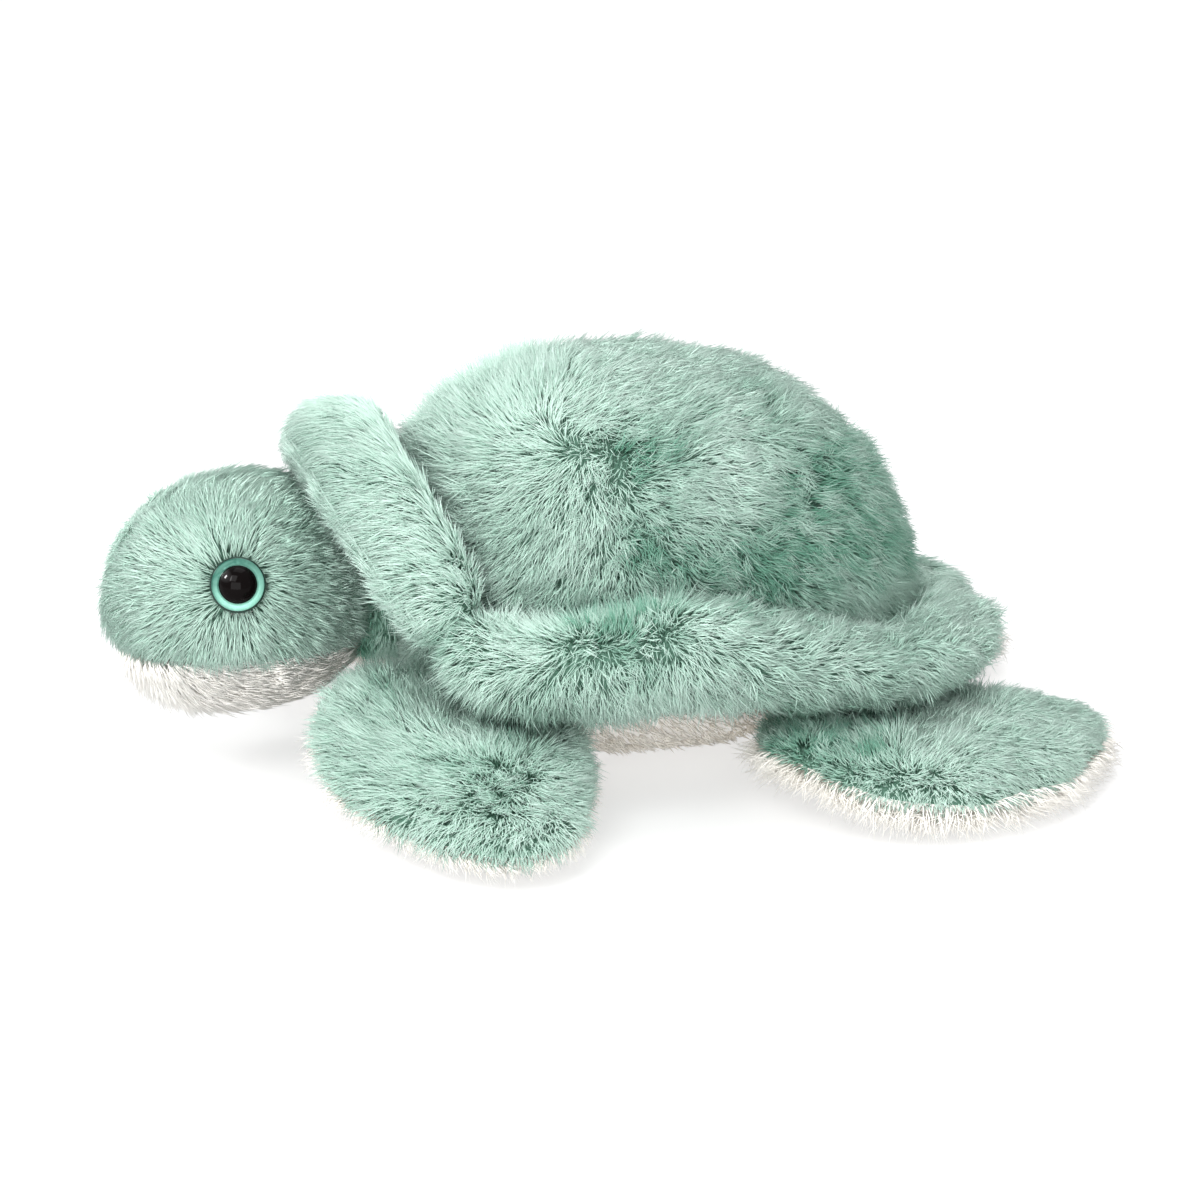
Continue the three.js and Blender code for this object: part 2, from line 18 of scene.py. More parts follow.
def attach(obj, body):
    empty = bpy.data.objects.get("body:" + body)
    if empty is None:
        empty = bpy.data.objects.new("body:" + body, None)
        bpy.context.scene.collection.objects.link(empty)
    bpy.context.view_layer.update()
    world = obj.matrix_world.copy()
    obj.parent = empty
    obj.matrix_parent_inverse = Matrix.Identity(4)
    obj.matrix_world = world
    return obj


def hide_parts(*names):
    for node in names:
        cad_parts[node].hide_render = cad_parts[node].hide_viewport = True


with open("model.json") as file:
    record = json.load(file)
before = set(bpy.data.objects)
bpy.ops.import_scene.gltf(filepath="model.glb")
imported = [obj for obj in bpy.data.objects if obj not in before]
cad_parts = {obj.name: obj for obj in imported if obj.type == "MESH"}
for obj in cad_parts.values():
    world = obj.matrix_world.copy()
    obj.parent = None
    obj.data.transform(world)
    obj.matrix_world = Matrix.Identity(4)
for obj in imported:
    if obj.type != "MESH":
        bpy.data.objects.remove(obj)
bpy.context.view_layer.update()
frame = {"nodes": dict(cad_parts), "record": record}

MM = 0.001

# %% [markdown]
# The photograph looks at the left side from a little in front and 15 degrees above, through a
# long lens. The camera stands on that line, so the drawing of the toy falls on its photograph.

# %% Camera
scene = bpy.context.scene
AZIMUTH, RISE = math.radians(-12), math.radians(15)
DISTANCE, FIELD = 1100 * MM, 312 * MM
look_right = Vector((math.cos(AZIMUTH), math.sin(AZIMUTH), 0))
look_ahead = Vector(
    (-math.sin(AZIMUTH) * math.cos(RISE), math.cos(AZIMUTH) * math.cos(RISE), -math.sin(RISE))
)
look_up = look_right.cross(look_ahead)
aim = look_up * 36.1 * MM + Vector((3.7, 0, 0)) * MM

bpy.ops.object.camera_add(location=aim - look_ahead * DISTANCE)
camera = bpy.context.object
camera.name = "camera"
camera.rotation_euler = Matrix((look_right, look_up, -look_ahead)).transposed().to_euler()
camera.data.sensor_width = 36
camera.data.lens = 36 * DISTANCE / FIELD
camera.data.clip_end = 20
scene.camera = camera
print("lens", round(camera.data.lens, 1), "mm")

# %% [markdown]
# The toy was photographed on white under broad soft light. A pale floor, a bright sky and three
# large lamps, one of them low, give the same even look, with soft dark places between the forms.
# A small fourth lamp beside the head makes the highlight in the eye.

# %% Floor and light
bpy.ops.object.select_all(action="DESELECT")
bpy.ops.mesh.primitive_plane_add(size=14, location=(0, 0, -0.0003))
floor = bpy.context.object
floor.name = "floor"

world = bpy.data.worlds.new("sky")
scene.world = world
world.use_nodes = True
world.node_tree.nodes["Background"].inputs["Color"].default_value = (1, 1, 1, 1)
world.node_tree.nodes["Background"].inputs["Strength"].default_value = 0.86
scene.view_settings.view_transform = "Standard"


def soft_lamp(name, place, size, power):
    """A square lamp that looks at the middle of the toy; metres and watts."""
    bpy.ops.object.light_add(type="AREA", location=place)
    lamp = bpy.context.object
    lamp.name = name
    lamp.data.shape = "SQUARE"
    lamp.data.size = size
    lamp.data.energy = power
    lamp.rotation_euler = (Vector((0, 0, 0.04)) - Vector(place)).to_track_quat("-Z", "Y").to_euler()


soft_lamp("key_lamp", (-0.7, -1.0, 1.2), 0.8, 13)
soft_lamp("top_lamp", (0.1, 0.2, 1.5), 1.0, 7)
soft_lamp("low_lamp", (-0.5, -1.4, 0.2), 1.1, 18)
soft_lamp("catch_lamp", (-0.8, 0.05, 0.6), 0.2, 2.6)

# %% [markdown]
# Patterns are written as sums. A Shade holds one output of a node, and an expression on Shades
# adds the Math nodes for it, so a formula reads as a formula.

# %% Shader maths
OBJECT_PLACE = 3  # a Texture Coordinate node's Object output
MIX_FIRST, MIX_SECOND, MIX_COLOUR = 6, 7, 2  # a Mix node's two colour inputs and colour output


class Shade:
    """One output of a shader node, which takes part in sums."""

    def __init__(self, tree, socket):
        self.tree, self.socket = tree, socket

    def _math(self, kind, *values):
        return node(self.tree, "ShaderNodeMath", {"operation": kind}, list(values))

    def __add__(self, other):
        return self._math("ADD", self, other)

    def __sub__(self, other):
        return self._math("SUBTRACT", self, other)

    def __rsub__(self, other):
        return self._math("SUBTRACT", other, self)

    def __mul__(self, other):
        return self._math("MULTIPLY", self, other)

    def __truediv__(self, other):
        return self._math("DIVIDE", self, other)


def node(tree, kind, settings=None, values=None, out=0):
    """A node with these settings and input values; Shades among the values are linked."""
    made = tree.nodes.new(kind)
    for name, value in (settings or {}).items():
        if name == "stops":
            ramp = made.color_ramp
            while len(ramp.elements) < len(value):
                ramp.elements.new(0.5)
            for stop, (place, colour) in zip(ramp.elements, value):
                stop.position, stop.color = place, (*colour, 1)
        else:
            setattr(made, name, value)
    pairs = values.items() if isinstance(values, dict) else enumerate(values or [])
    for key, value in pairs:
        if isinstance(value, Shade):
            tree.links.new(value.socket, made.inputs[key])
        else:
            made.inputs[key].default_value = value
    return Shade(tree, made.outputs[out])


def new_material(name, **fixed):
    """A finish whose shader has these values; an underscore in a key stands for a space."""
    finish = bpy.data.materials.new(name)
    finish.use_nodes = True
    tree = finish.node_tree
    shader = tree.nodes["Principled BSDF"]
    for key, value in fixed.items():
        shader.inputs[key.replace("_", " ")].default_value = value
    return finish, tree, shader


def feed(tree, shader, key, value):
    tree.links.new(value.socket, shader.inputs[key])


def mixed_colour(tree, share, first, second, blend="MIX"):
    settings = {"data_type": "RGBA", "blend_type": blend}
    return node(
        tree, "ShaderNodeMix", settings, {0: share, MIX_FIRST: first, MIX_SECOND: second}, MIX_COLOUR
    )


# %% [markdown]
# A strand of this pile is dark green at the root and pale mint at the tip, and no two are quite
# alike. Each strand carries a small map: how light it is runs across, and root to tip runs up.
# The colour depends on nothing else, so the map also serves when the toy is exported.

# %% Pile
ACROSS, ALONG = 0, 1


def pile_material(name, stops, dull, bright):
    """Stops colour a strand from root to tip, and dull to bright is how light it is as a whole."""
    finish, tree, shader = new_material(name, Roughness=0.7, Specular_IOR_Level=0.2)
    place = node(tree, "ShaderNodeUVMap", {"uv_map": "OFBake"})
    parts = [node(tree, "ShaderNodeSeparateXYZ", None, [place], axis) for axis in (ACROSS, ALONG)]
    along = node(tree, "ShaderNodeValToRGB", {"stops": stops}, [parts[ALONG]])
    tint = mixed_colour(tree, parts[ACROSS], dull, bright)
    feed(tree, shader, "Base Color", mixed_colour(tree, 1.0, along, tint, "MULTIPLY"))
    return finish


mint_pile = pile_material(
    "mint_pile",
    [
        (0.0, (0.42, 0.6, 0.52)),
        (0.25, (0.58, 0.75, 0.67)),
        (0.55, (0.65, 0.8, 0.73)),
        (1.0, (0.76, 0.88, 0.83)),
    ],
    (0.22, 0.43, 0.34, 1),
    (0.965, 1.0, 0.985, 1),
)
cream_pile = pile_material(
    "cream_pile",
    [
        (0.0, (0.97, 0.92, 0.86)),
        (0.4, (0.99, 0.97, 0.93)),
        (1.0, (1.0, 0.99, 0.96)),
    ],
    (0.75, 0.72, 0.66, 1),
    (1.0, 1.0, 1.0, 1),
)

# %% [markdown]
# Below the pile lies the knitted backing cloth. It only shows where the pile parts, so a fine
# grain and the bumps of the stitches, both in Object coordinates, are enough.

# %% Backing cloth
def cloth_material(name, low, high):
    finish, tree, shader = new_material(name, Roughness=0.95, Specular_IOR_Level=0.1)
    place = node(tree, "ShaderNodeTexCoord", out=OBJECT_PLACE)
    grain = node(tree, "ShaderNodeTexNoise", None, {"Vector": place, "Scale": 900.0, "Detail": 2.0})
    knit = node(tree, "ShaderNodeTexVoronoi", None, {"Vector": place, "Scale": 1400.0})
    bump = {"Strength": 0.4, "Distance": 0.0004, "Height": knit}
    feed(tree, shader, "Base Color", mixed_colour(tree, grain, low, high))
    feed(tree, shader, "Normal", node(tree, "ShaderNodeBump", None, bump))
    return finish


mint_cloth = cloth_material("mint_cloth", (0.09, 0.19, 0.14, 1), (0.18, 0.32, 0.25, 1))
cream_cloth = cloth_material("cream_cloth", (0.93, 0.9, 0.86, 1), (0.98, 0.96, 0.93, 1))
print("finishes so far:", [finish.name for finish in bpy.data.materials])

# %% [markdown]
# Every bag starts as a ball. Its rows become the rings of the form: a pillow for the shell and
# the head, a bent roll for the collar and rims, a paddle for the flippers. The skin lies under
# the CAD surface, because that surface is the middle of the pile.

# %% Stuffed skins
SKIN_DEPTH = 3.0


def read(items, key):
    """One vector of each point or face of a mesh, as rows of three."""
    flat = np.empty(len(items) * 3)
    items.foreach_get(key, flat)
    return flat.reshape(-1, 3)


def stuffed_ball(name, segments, rings, place):
    """A ball whose points go where the function puts their climb and turn, in radians."""
    bpy.ops.object.select_all(action="DESELECT")
    bpy.ops.mesh.primitive_uv_sphere_add(segments=segments, ring_count=rings, radius=1)
    skin = bpy.context.object
    skin.name = skin.data.name = name
    ball = read(skin.data.vertices, "co")
    climb = np.arcsin(ball[:, 2].clip(-1, 1))
    turn = np.arctan2(ball[:, 1], ball[:, 0])
    skin.data.vertices.foreach_set("co", (place(climb, turn) * MM).ravel())
    bpy.ops.object.mode_set(mode="EDIT")
    bpy.ops.mesh.select_all(action="SELECT")
    bpy.ops.mesh.normals_make_consistent(inside=False)
    bpy.ops.mesh.faces_shade_smooth()
    bpy.ops.object.mode_set(mode="OBJECT")
    skin.data.uv_layers.remove(skin.data.uv_layers[0])
    return skin


def bend(value, power):
    """A sine or cosine for a form that is round at power 2 and squarer above it."""
    return np.sign(value) * np.abs(value) ** (2 / power)


def mix(a, b, share):
    return a + (b - a) * share


def smooth(value, low, high):
    """From 0 at low to 1 at high, with soft ends; low may be the larger one."""
    share = ((value - low) / (high - low)).clip(0, 1)
    return share * share * (3 - 2 * share)


def between(a, b, c, d, t):
    """A smooth curve from b to c, with slopes that a and d give it."""
    return 0.5 * (2 * b + (c - a) * t + (2 * a - 5 * b + 4 * c - d) * t**2 + (3 * b - a - 3 * c + d) * t**3)


# %% [markdown]
# The body is one pillow: a high dome above the side seam and a shallower belly below it, pressed
# flat on the table. "plan" and "side" say how square it is from above and from the side.

# %% Body skin
BODY_X, SEAM_Z = 11.7, 38.0
FLOOR_GAP = 1.4
DOME_SIDES = {"front": 2.5, "rear": 2.1}
DOME = {"front": 63, "rear": 72, "width": 58, "rise": 64.5, "plan": 2.1}
BELLY = {"width": 54, "drop": 40.4, "plan": 2.8, "side": 1.85}


def body_place(climb, turn):
    low = smooth(-climb, 0.0, 0.35)
    to_rear = (1 + np.cos(turn)) / 2
    dome_side = mix(DOME_SIDES["front"], DOME_SIDES["rear"], to_rear)
    side = np.where(climb > 0, dome_side, BELLY["side"])
    plan = mix(DOME["plan"], BELLY["plan"], low)
    width = mix(DOME["width"], BELLY["width"], low) - SKIN_DEPTH
    ahead, across = bend(np.cos(turn), plan), bend(np.sin(turn), plan)
    length = np.where(ahead > 0, DOME["rear"], DOME["front"]) - SKIN_DEPTH
    high = np.where(climb > 0, DOME["rise"], BELLY["drop"]) - SKIN_DEPTH
    out = bend(np.cos(climb), side)
    z = SEAM_Z + high * bend(np.sin(climb), side)
    return np.stack([BODY_X + out * ahead * length, out * across * width, z.clip(FLOOR_GAP)], 1)


body_skin = stuffed_ball("body_skin", 96, 72, body_place)

# %% [markdown]
# The head is almost a ball. Each eye is pulled in a little by its washer, so the skin dips there.
# The neck is a small stuffed ball behind it, mostly out of sight.

# %% Head and neck skins
HEAD = np.array((-88.8, 0.0, 44.5))
HEAD_HALF = np.array((34.5, 30.0, 30.5))
EYE_X, EYE_Z, EYE_RADIUS = -93.3, 54.0, 7.0
EYE_DIP, EYE_DIP_WIDTH = 2.0, 9.0
HEAD_POWER = 2.1
CHIN_SEAM_Z = 34.0
NECK, NECK_RADIUS = np.array((-56.3, 0, 42.0)), 14.0


def eye_seat(side):
    """Where an eye sits on the head's surface, and the way it looks."""
    share = (np.array((EYE_X, 0, EYE_Z)) - HEAD) / HEAD_HALF
    share[1] = -side * math.sqrt(1 - share[0] ** 2 - share[2] ** 2)
    outward = share / HEAD_HALF
    return HEAD + share * HEAD_HALF, outward / np.linalg.norm(outward)


EYES = {"left": eye_seat(1), "right": eye_seat(-1)}
EYE_SEATS = [seat for seat, _ in EYES.values()]


def eye_gap(points):
    return np.min([np.linalg.norm(points - seat, axis=1) for seat in EYE_SEATS], axis=0)


def head_place(climb, turn):
    half = HEAD_HALF - SKIN_DEPTH
    out = bend(np.cos(climb), HEAD_POWER)
    high = bend(np.sin(climb), HEAD_POWER)
    skin = HEAD + np.stack([out * np.cos(turn), out * np.sin(turn), high], 1) * half
    for seat, outward in EYES.values():
        gap = np.linalg.norm(skin - seat, axis=1)
        skin = skin - outward * (EYE_DIP * np.exp(-((gap / EYE_DIP_WIDTH) ** 2)))[:, None]
    return skin


head_skin = stuffed_ball("head_skin", 80, 60, head_place)


def neck_place(climb, turn):
    out = np.cos(climb)
    return NECK + NECK_RADIUS * np.stack([out * np.cos(turn), out * np.sin(turn), np.sin(climb)], 1)


neck_skin = stuffed_ball("neck_skin", 32, 24, neck_place)

# %% [markdown]
# The roll round the shell is one fat cord of stuffing on a closed curve. The curve rises in front
# to carry the collar. The collar and the two rims are sewn off from each other, so each is closed
# with rounded ends of its own. A row of the table is a place on the curve, as shares of its length,
# its half width and its rise, and then how deep and how tall the roll is there, again as shares.

# %% Collar and rim skins
ROLL_FRONT, ROLL_REAR, ROLL_HALF_WIDTH = 74, 84, 69
COLLAR_Z, ROLL_REAR_Z = 82, 30.5
ROLL_DEEP, ROLL_MORE_DEEP = 12, 2.5
ROLL_TALL, ROLL_MORE_TALL = 7.5, 5.5
END_POWER, END_ROUND = 9, 2.5
ROLL_SHARES = [
    (-1, 0, 1, 0, 0.27), (-0.965, 0.31, 0.9, 0, 0.27), (-0.866, 0.56, 0.64, 0.05, 0.28),
    (-0.75, 0.73, 0.34, 0.2, 0.34), (-0.59, 0.84, 0.13, 0.7, 0.44), (-0.304, 0.98, 0.15, 0.85, 0.75),
    (0.025, 1.01, 0.21, 1, 0.9), (0.332, 0.97, 0.12, 0.95, 0.55), (0.617, 0.82, 0.03, 0.9, 0.2),
    (0.857, 0.52, 0, 0.85, 0), (1, 0, 0, 0.85, 0),
]


def roll_table():
    rows = ROLL_SHARES + [(a, -b, *rest) for a, b, *rest in ROLL_SHARES[-2:0:-1]]
    table = []
    for ahead, across, climb, deep, tall in rows:
        x = BODY_X + ahead * (ROLL_REAR if ahead > 0 else ROLL_FRONT)
        z = ROLL_REAR_Z + climb * (COLLAR_Z - ROLL_REAR_Z)
        half = (ROLL_DEEP + deep * ROLL_MORE_DEEP, ROLL_TALL + tall * ROLL_MORE_TALL)
        table.append((x, -across * ROLL_HALF_WIDTH, z, *half))
    return np.array(table)


ROLL_TABLE = roll_table()


def through(table, way):
    """The table's values along a closed smooth curve, at shares of its way round."""
    spot = (way % 1) * len(table)
    first = np.floor(spot).astype(int)
    t = (spot - first)[:, None]
    a, b, c, d = (table[(first + k) % len(table)] for k in (-1, 0, 1, 2))
    return between(a, b, c, d, t)


def roll_frame(way):
    """Where the roll's line is, with its sizes, and the ways along, outward and up beside it."""
    here, ahead = through(ROLL_TABLE, way), through(ROLL_TABLE, way + 0.002)
    line = ahead[:, :3] - here[:, :3]
    line /= np.linalg.norm(line, axis=1)[:, None]
    outward = np.cross(line * (1, 1, 0), (0, 0, 1))
    outward /= np.linalg.norm(outward, axis=1)[:, None]
    return here, line, outward, np.cross(outward, line)


def roll_place(start, end, depth=SKIN_DEPTH):
    """Lays a ball's rings along a stretch of the roll and rounds its two ends."""

    def place(climb, turn):
        share = 0.5 + climb / math.pi
        full = (1 - np.abs(2 * share - 1) ** END_POWER) ** (1 / END_ROUND)
        here, _, outward, upward = roll_frame(start + (end - start) * share)
        wide = (here[:, 3] - depth) * full * np.cos(turn)
        tall = (here[:, 4] - depth) * full * np.sin(turn)
        return here[:, :3] + outward * wide[:, None] + upward * tall[:, None]

    return place


ROLL_STEPS = np.linspace(-0.5, 0.5, 721)[:-1]
ROLL_LINE = through(ROLL_TABLE, ROLL_STEPS)[:, :3]


def roll_sides(points):
    """The roll's line, outward and upward ways beside points, and how far outward they lie."""
    near = ROLL_STEPS[((points[:, None] - ROLL_LINE) ** 2).sum(2).argmin(1)]
    here, line, outward, upward = roll_frame(near)
    offset = points - here[:, :3]
    line = line * np.where(near > 0, -1.0, 1.0)[:, None]
    return line, outward, upward, (offset * outward).sum(1) / here[:, 3]


COLLAR_SHARE = 57 / 360
collar_skin = stuffed_ball("collar_skin", 32, 110, roll_place(-COLLAR_SHARE, COLLAR_SHARE, 2.0))
rim_left_skin = stuffed_ball("rim_left_skin", 32, 110, roll_place(COLLAR_SHARE, 0.5))
rim_right_skin = stuffed_ball("rim_right_skin", 32, 110, roll_place(0.5, 1 - COLLAR_SHARE))

# %% [markdown]
# A flipper is a flat bag: a green top and a white bottom sewn together round the edge. Each row
# of the table says how far out it lies, where its two edges are, how thick it is there and how
# much of the front edge's rise it has, all as shares of the sizes above it.

# %% Flipper skins
FRONT_FLIPPER = {
    "root": (-35.3, 34.0, 17.5),
    "tip_z": 8.0,
    "reach": 82,
    "half_width": 34,
    "front_rise": 14,
    "yaw": math.radians(20),
    "rows": [
        (-0.09, -0.3, 0.3, 0.0, 0.0), (-0.06, -0.42, 0.42, 0.7, 0.0), (0.03, -0.74, 0.66, 1, 0.9),
        (0.12, -0.92, 0.8, 1.04, 1.0), (0.25, -1.06, 0.96, 1.06, 0.78), (0.42, -1.04, 1.04, 1.06, 0.5),
        (0.62, -0.8, 1.08, 1.05, 0.25), (0.8, -0.34, 1.08, 1, 0.1), (0.93, 0.1, 0.94, 0.8, 0.0),
        (0.985, 0.36, 0.74, 0.46, 0.0), (1.0, 0.56, 0.56, 0.0, 0.0),
    ],
}
REAR_FLIPPER = {
    "root": (56.7, 36.0, 13.0),
    "tip_z": 8.0,
    "reach": 70,
    "half_width": 46,
    "front_rise": 5,
    "yaw": math.radians(-30),
    "rows": [
        (-0.1, -0.2, 0.2, 0.0, 0.0), (-0.07, -0.3, 0.3, 0.7, 0.0), (0.03, -0.6, 0.5, 1, 0.2),
        (0.14, -0.78, 0.8, 1, 0.6), (0.3, -0.9, 1.08, 1, 1.0), (0.5, -0.94, 1.22, 1, 1.0),
        (0.66, -0.92, 1.16, 1, 0.7), (0.8, -0.82, 0.9, 0.98, 0.35), (0.92, -0.58, 0.56, 0.84, 0.1),
        (0.985, -0.36, 0.26, 0.5, 0.0), (1.0, -0.08, -0.08, 0.0, 0.0),
    ],
}
HALF_THICKNESS = 7.4
FLIPPER_POWER = 2.3


def flipper_axes(flipper, side):
    """A flipper's root and the ways out from the body and along its front and rear edges."""
    c, s = math.cos(flipper["yaw"]), math.sin(flipper["yaw"])
    x, y, z = flipper["root"]
    return np.array((x, -side * y, z)), np.array((-s, -side * c, 0)), np.array((c, -side * s, 0))


def seam_level(flipper, s, v, rise):
    """Height of the seam over the root: it falls to the tip, and the front edge rises."""
    fall = (flipper["tip_z"] - flipper["root"][2]) * s.clip(0) / flipper["reach"]
    return fall + (-v / flipper["half_width"]).clip(0, 1.1) * flipper["front_rise"] * rise


def flipper_place(flipper, side):
    root, outward, along = flipper_axes(flipper, side)
    rows = np.array(flipper["rows"])

    def place(climb, turn):
        share = 0.5 + climb / math.pi
        step = share * (len(rows) - 1)
        first = step.astype(int).clip(0, len(rows) - 2)
        t = (step - first)[:, None]
        a, b, c, d = (rows[(first + k).clip(0, len(rows) - 1)] for k in (-1, 0, 1, 2))
        out, low, high, thick, rise = between(a, b, c, d, t).T
        s = out * (flipper["reach"] - SKIN_DEPTH)
        edge = SKIN_DEPTH * np.minimum(1, (high - low).clip(0) / 0.4)
        low, high = low * flipper["half_width"] + edge, high * flipper["half_width"] - edge
        half = (thick.clip(0) * HALF_THICKNESS - SKIN_DEPTH * np.minimum(1, thick.clip(0) / 0.5)).clip(0)
        v = (low + high) / 2 + (high - low) / 2 * bend(np.cos(turn), FLIPPER_POWER)
        z = seam_level(flipper, s, v, rise.clip(0)) + half * bend(np.sin(turn), FLIPPER_POWER)
        return root + outward * s[:, None] + along * v[:, None] + np.array((0, 0, 1)) * z[:, None]

    return place


FLIPPERS = {
    f"{kind}_flipper_{word}": (flipper, side)
    for kind, flipper in (("front", FRONT_FLIPPER), ("rear", REAR_FLIPPER))
    for word, side in (("left", 1), ("right", -1))
}
flipper_skins = {
    name: stuffed_ball(f"{name}_skin", 40, 56, flipper_place(flipper, side))
    for name, (flipper, side) in FLIPPERS.items()
}


def flipper_level(name, points):
    """How far points lie above the seam round a flipper's edge."""
    flipper, side = FLIPPERS[name]
    root, outward, along = flipper_axes(flipper, side)
    s, v = (points - root) @ outward, (points - root) @ along
    rows = np.array(flipper["rows"])
    rise = np.interp(s / flipper["reach"], rows[:, 0], rows[:, 4])
    return points[:, 2] - root[2] - seam_level(flipper, s, v, rise)


# %% [markdown]
# A stuffed bag is tight: the fibre presses its cloth out and the seams hold it back. A short cloth
# run with pressure inside and the seams pinned gives each bag that crown. No point may move more
# than 1.2 mm, because the bag has to stay in its solid.

# %% Stuffing
FRAMES, PRESSURE = 12, 4
MOST_SHIFT = 1.2 * MM


def puffed(skin, pinned):
    """Blow a bag up between its pinned seams and keep the form it takes."""
    mesh = skin.data
    rest = read(mesh.vertices, "co")
    seam = skin.vertex_groups.new(name="seam")
    seam.add([int(i) for i in np.flatnonzero(pinned(rest / MM))], 1.0, "REPLACE")
    cloth = skin.modifiers.new("cloth", "CLOTH")
    cloth.settings.quality = 4
    cloth.settings.use_pressure = True
    cloth.settings.uniform_pressure_force = PRESSURE
    cloth.settings.effector_weights.gravity = 0
    cloth.settings.vertex_group_mass = "seam"
    for step in range(1, FRAMES + 1):
        scene.frame_set(step)
    shown = skin.evaluated_get(bpy.context.evaluated_depsgraph_get()).data
    shift = read(shown.vertices, "co") - rest
    far = np.linalg.norm(shift, axis=1, keepdims=True)
    shift *= MOST_SHIFT / np.maximum(far, MOST_SHIFT)
    skin.modifiers.remove(cloth)
    skin.vertex_groups.remove(seam)
    mesh.vertices.foreach_set("co", (rest + shift).ravel())
    mesh.update()
    scene.frame_set(1)
    print(skin.name, "swelled by up to", round(far.max() / MM, 2), "mm, held to", MOST_SHIFT / MM)


puffed(body_skin, lambda p: (abs(p[:, 2] - SEAM_Z) < 1.5) | (p[:, 2] < 1.5))
puffed(head_skin, lambda p: (abs(p[:, 2] - CHIN_SEAM_Z) < 1.0) | (eye_gap(p) < EYE_RADIUS))
for skin in (collar_skin, rim_left_skin, rim_right_skin):
    puffed(skin, lambda p: roll_sides(p)[3] < -0.8)
for name, skin in flipper_skins.items():
    puffed(skin, lambda p: abs(flipper_level(name, p)) < 0.6)

# %% [markdown]
# Each skin says which solids of the frame it stands for and which body it moves with. A skin is a
# closed bag that is full and tight.

# %% Hand the skins to the frame
BODIES = frame["record"]["behaviour"]["bodies"]
SIDE_DROP, FRONT_DROP, REAR_DROP = 2, 22, 12
SEAM_LIFT = {"front": -0.6, "rear": 0.2}


def two_cloths(skin, above):
    """Mint cloth where the test holds and cream cloth on the rest."""
    skin.data.materials.append(mint_cloth)
    skin.data.materials.append(cream_cloth)
    below = ~above(read(skin.data.polygons, "center") / MM)
    skin.data.polygons.foreach_set("material_index", below.astype(np.int32))


def stands_for(skin, body, nodes):
    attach(skin, body)
    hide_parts(*nodes)
    print(skin.name, "stands for", ", ".join(nodes))


def seam_lift(name):
    """How far over its seam a flipper's green cloth begins."""
    return SEAM_LIFT[name.split("_")[0]]


def green_body(points):
    """The green comes lower in front, where the neck joins, and behind, where the rims meet."""
    drop = FRONT_DROP * smooth(points[:, 0], -25, -40) + REAR_DROP * smooth(points[:, 0], 55, 75)
    return points[:, 2] > SEAM_Z - SIDE_DROP - drop


two_cloths(body_skin, green_body)
two_cloths(head_skin, lambda p: p[:, 2] > CHIN_SEAM_Z)
for skin in (neck_skin, collar_skin, rim_left_skin, rim_right_skin):
    skin.data.materials.append(mint_cloth)
stands_for(body_skin, "body", [n for n in BODIES["body"] if not n.startswith(("collar", "rim"))])
stands_for(head_skin, "head", ["head_cover", "chin_panel", "head_stuffing"])
stands_for(neck_skin, "neck", BODIES["neck"])
for part, skin in (("collar", collar_skin), ("rim_left", rim_left_skin), ("rim_right", rim_right_skin)):
    stands_for(skin, "body", [f"{part}_cover", f"{part}_stuffing"])
for name, skin in flipper_skins.items():
    two_cloths(skin, lambda p: flipper_level(name, p) > seam_lift(name))
    stands_for(skin, name, BODIES[name])

# %% [markdown]
# Plush isn't smooth: hands and packing part it here and press it there. Sums of slow waves give
# every place its own lean and sway, the same on each run.

# %% Slow waves
chance = np.random.default_rng(7)
WAVES, WAVE_SCALE = 7, 2.6


def waves(points, length, seed):
    """A smooth field, mostly from -1 to 1, that changes over about this many millimetres."""
    own = np.random.default_rng(seed)
    total = np.zeros(len(points))
    for _ in range(WAVES):
        way = own.normal(size=3)
        way *= 2 * math.pi / (length * own.uniform(0.7, 1.5)) / np.linalg.norm(way)
        total += np.sin(points @ way + own.uniform(0, 2 * math.pi))
    return total / WAVE_SCALE


def unit(vectors):
    return vectors / np.maximum(np.linalg.norm(vectors, axis=-1, keepdims=True), 1e-9)


def along_skin(vectors, normals):
    return unit(vectors - normals * (vectors * normals).sum(1, keepdims=True))


def turned_about(vectors, normals, angle):
    c, s = np.cos(angle)[:, None], np.sin(angle)[:, None]
    return vectors * c + np.cross(normals, vectors) * s


# %% [markdown]
# The strands are laid in numbers rather than by hand. First roots are scattered over a skin. A root
# that would lie inside another skin is left out. Close to another skin the pile is pinched, so
# strands come out short there, as they do in a seam, and they are painted darker there: painted
# shade where the forms meet.

# %% Roots
NEAR, BURIED, FAR = 9, 1.5, 99.0
PINCH_AND_SHADE_WIDTH = 4


def surface(skin):
    """The triangles, points and normals of a skin."""
    mesh = skin.data
    mesh.calc_loop_triangles()
    corners = np.empty(len(mesh.loop_triangles) * 3, np.int32)
    mesh.loop_triangles.foreach_get("vertices", corners)
    return corners.reshape(-1, 3), read(mesh.vertices, "co") / MM, read(mesh.vertices, "normal")


def scatter(skin, density):
    """Random places on a skin, so many to the square millimetre, and the normals there."""
    corners, places, normals = surface(skin)
    a, b, c = (places[corners[:, k]] for k in range(3))
    areas = np.linalg.norm(np.cross(b - a, c - a), axis=1) / 2
    count = int(areas.sum() * density)
    chosen = chance.choice(len(areas), count, p=areas / areas.sum())
    u, v = chance.random(count), chance.random(count)
    over = u + v > 1
    u[over], v[over] = 1 - u[over], 1 - v[over]
    weights = np.stack([1 - u - v, u, v], 1)[:, :, None]
    at = corners[chosen]
    return (places[at] * weights).sum(1), unit((normals[at] * weights).sum(1))


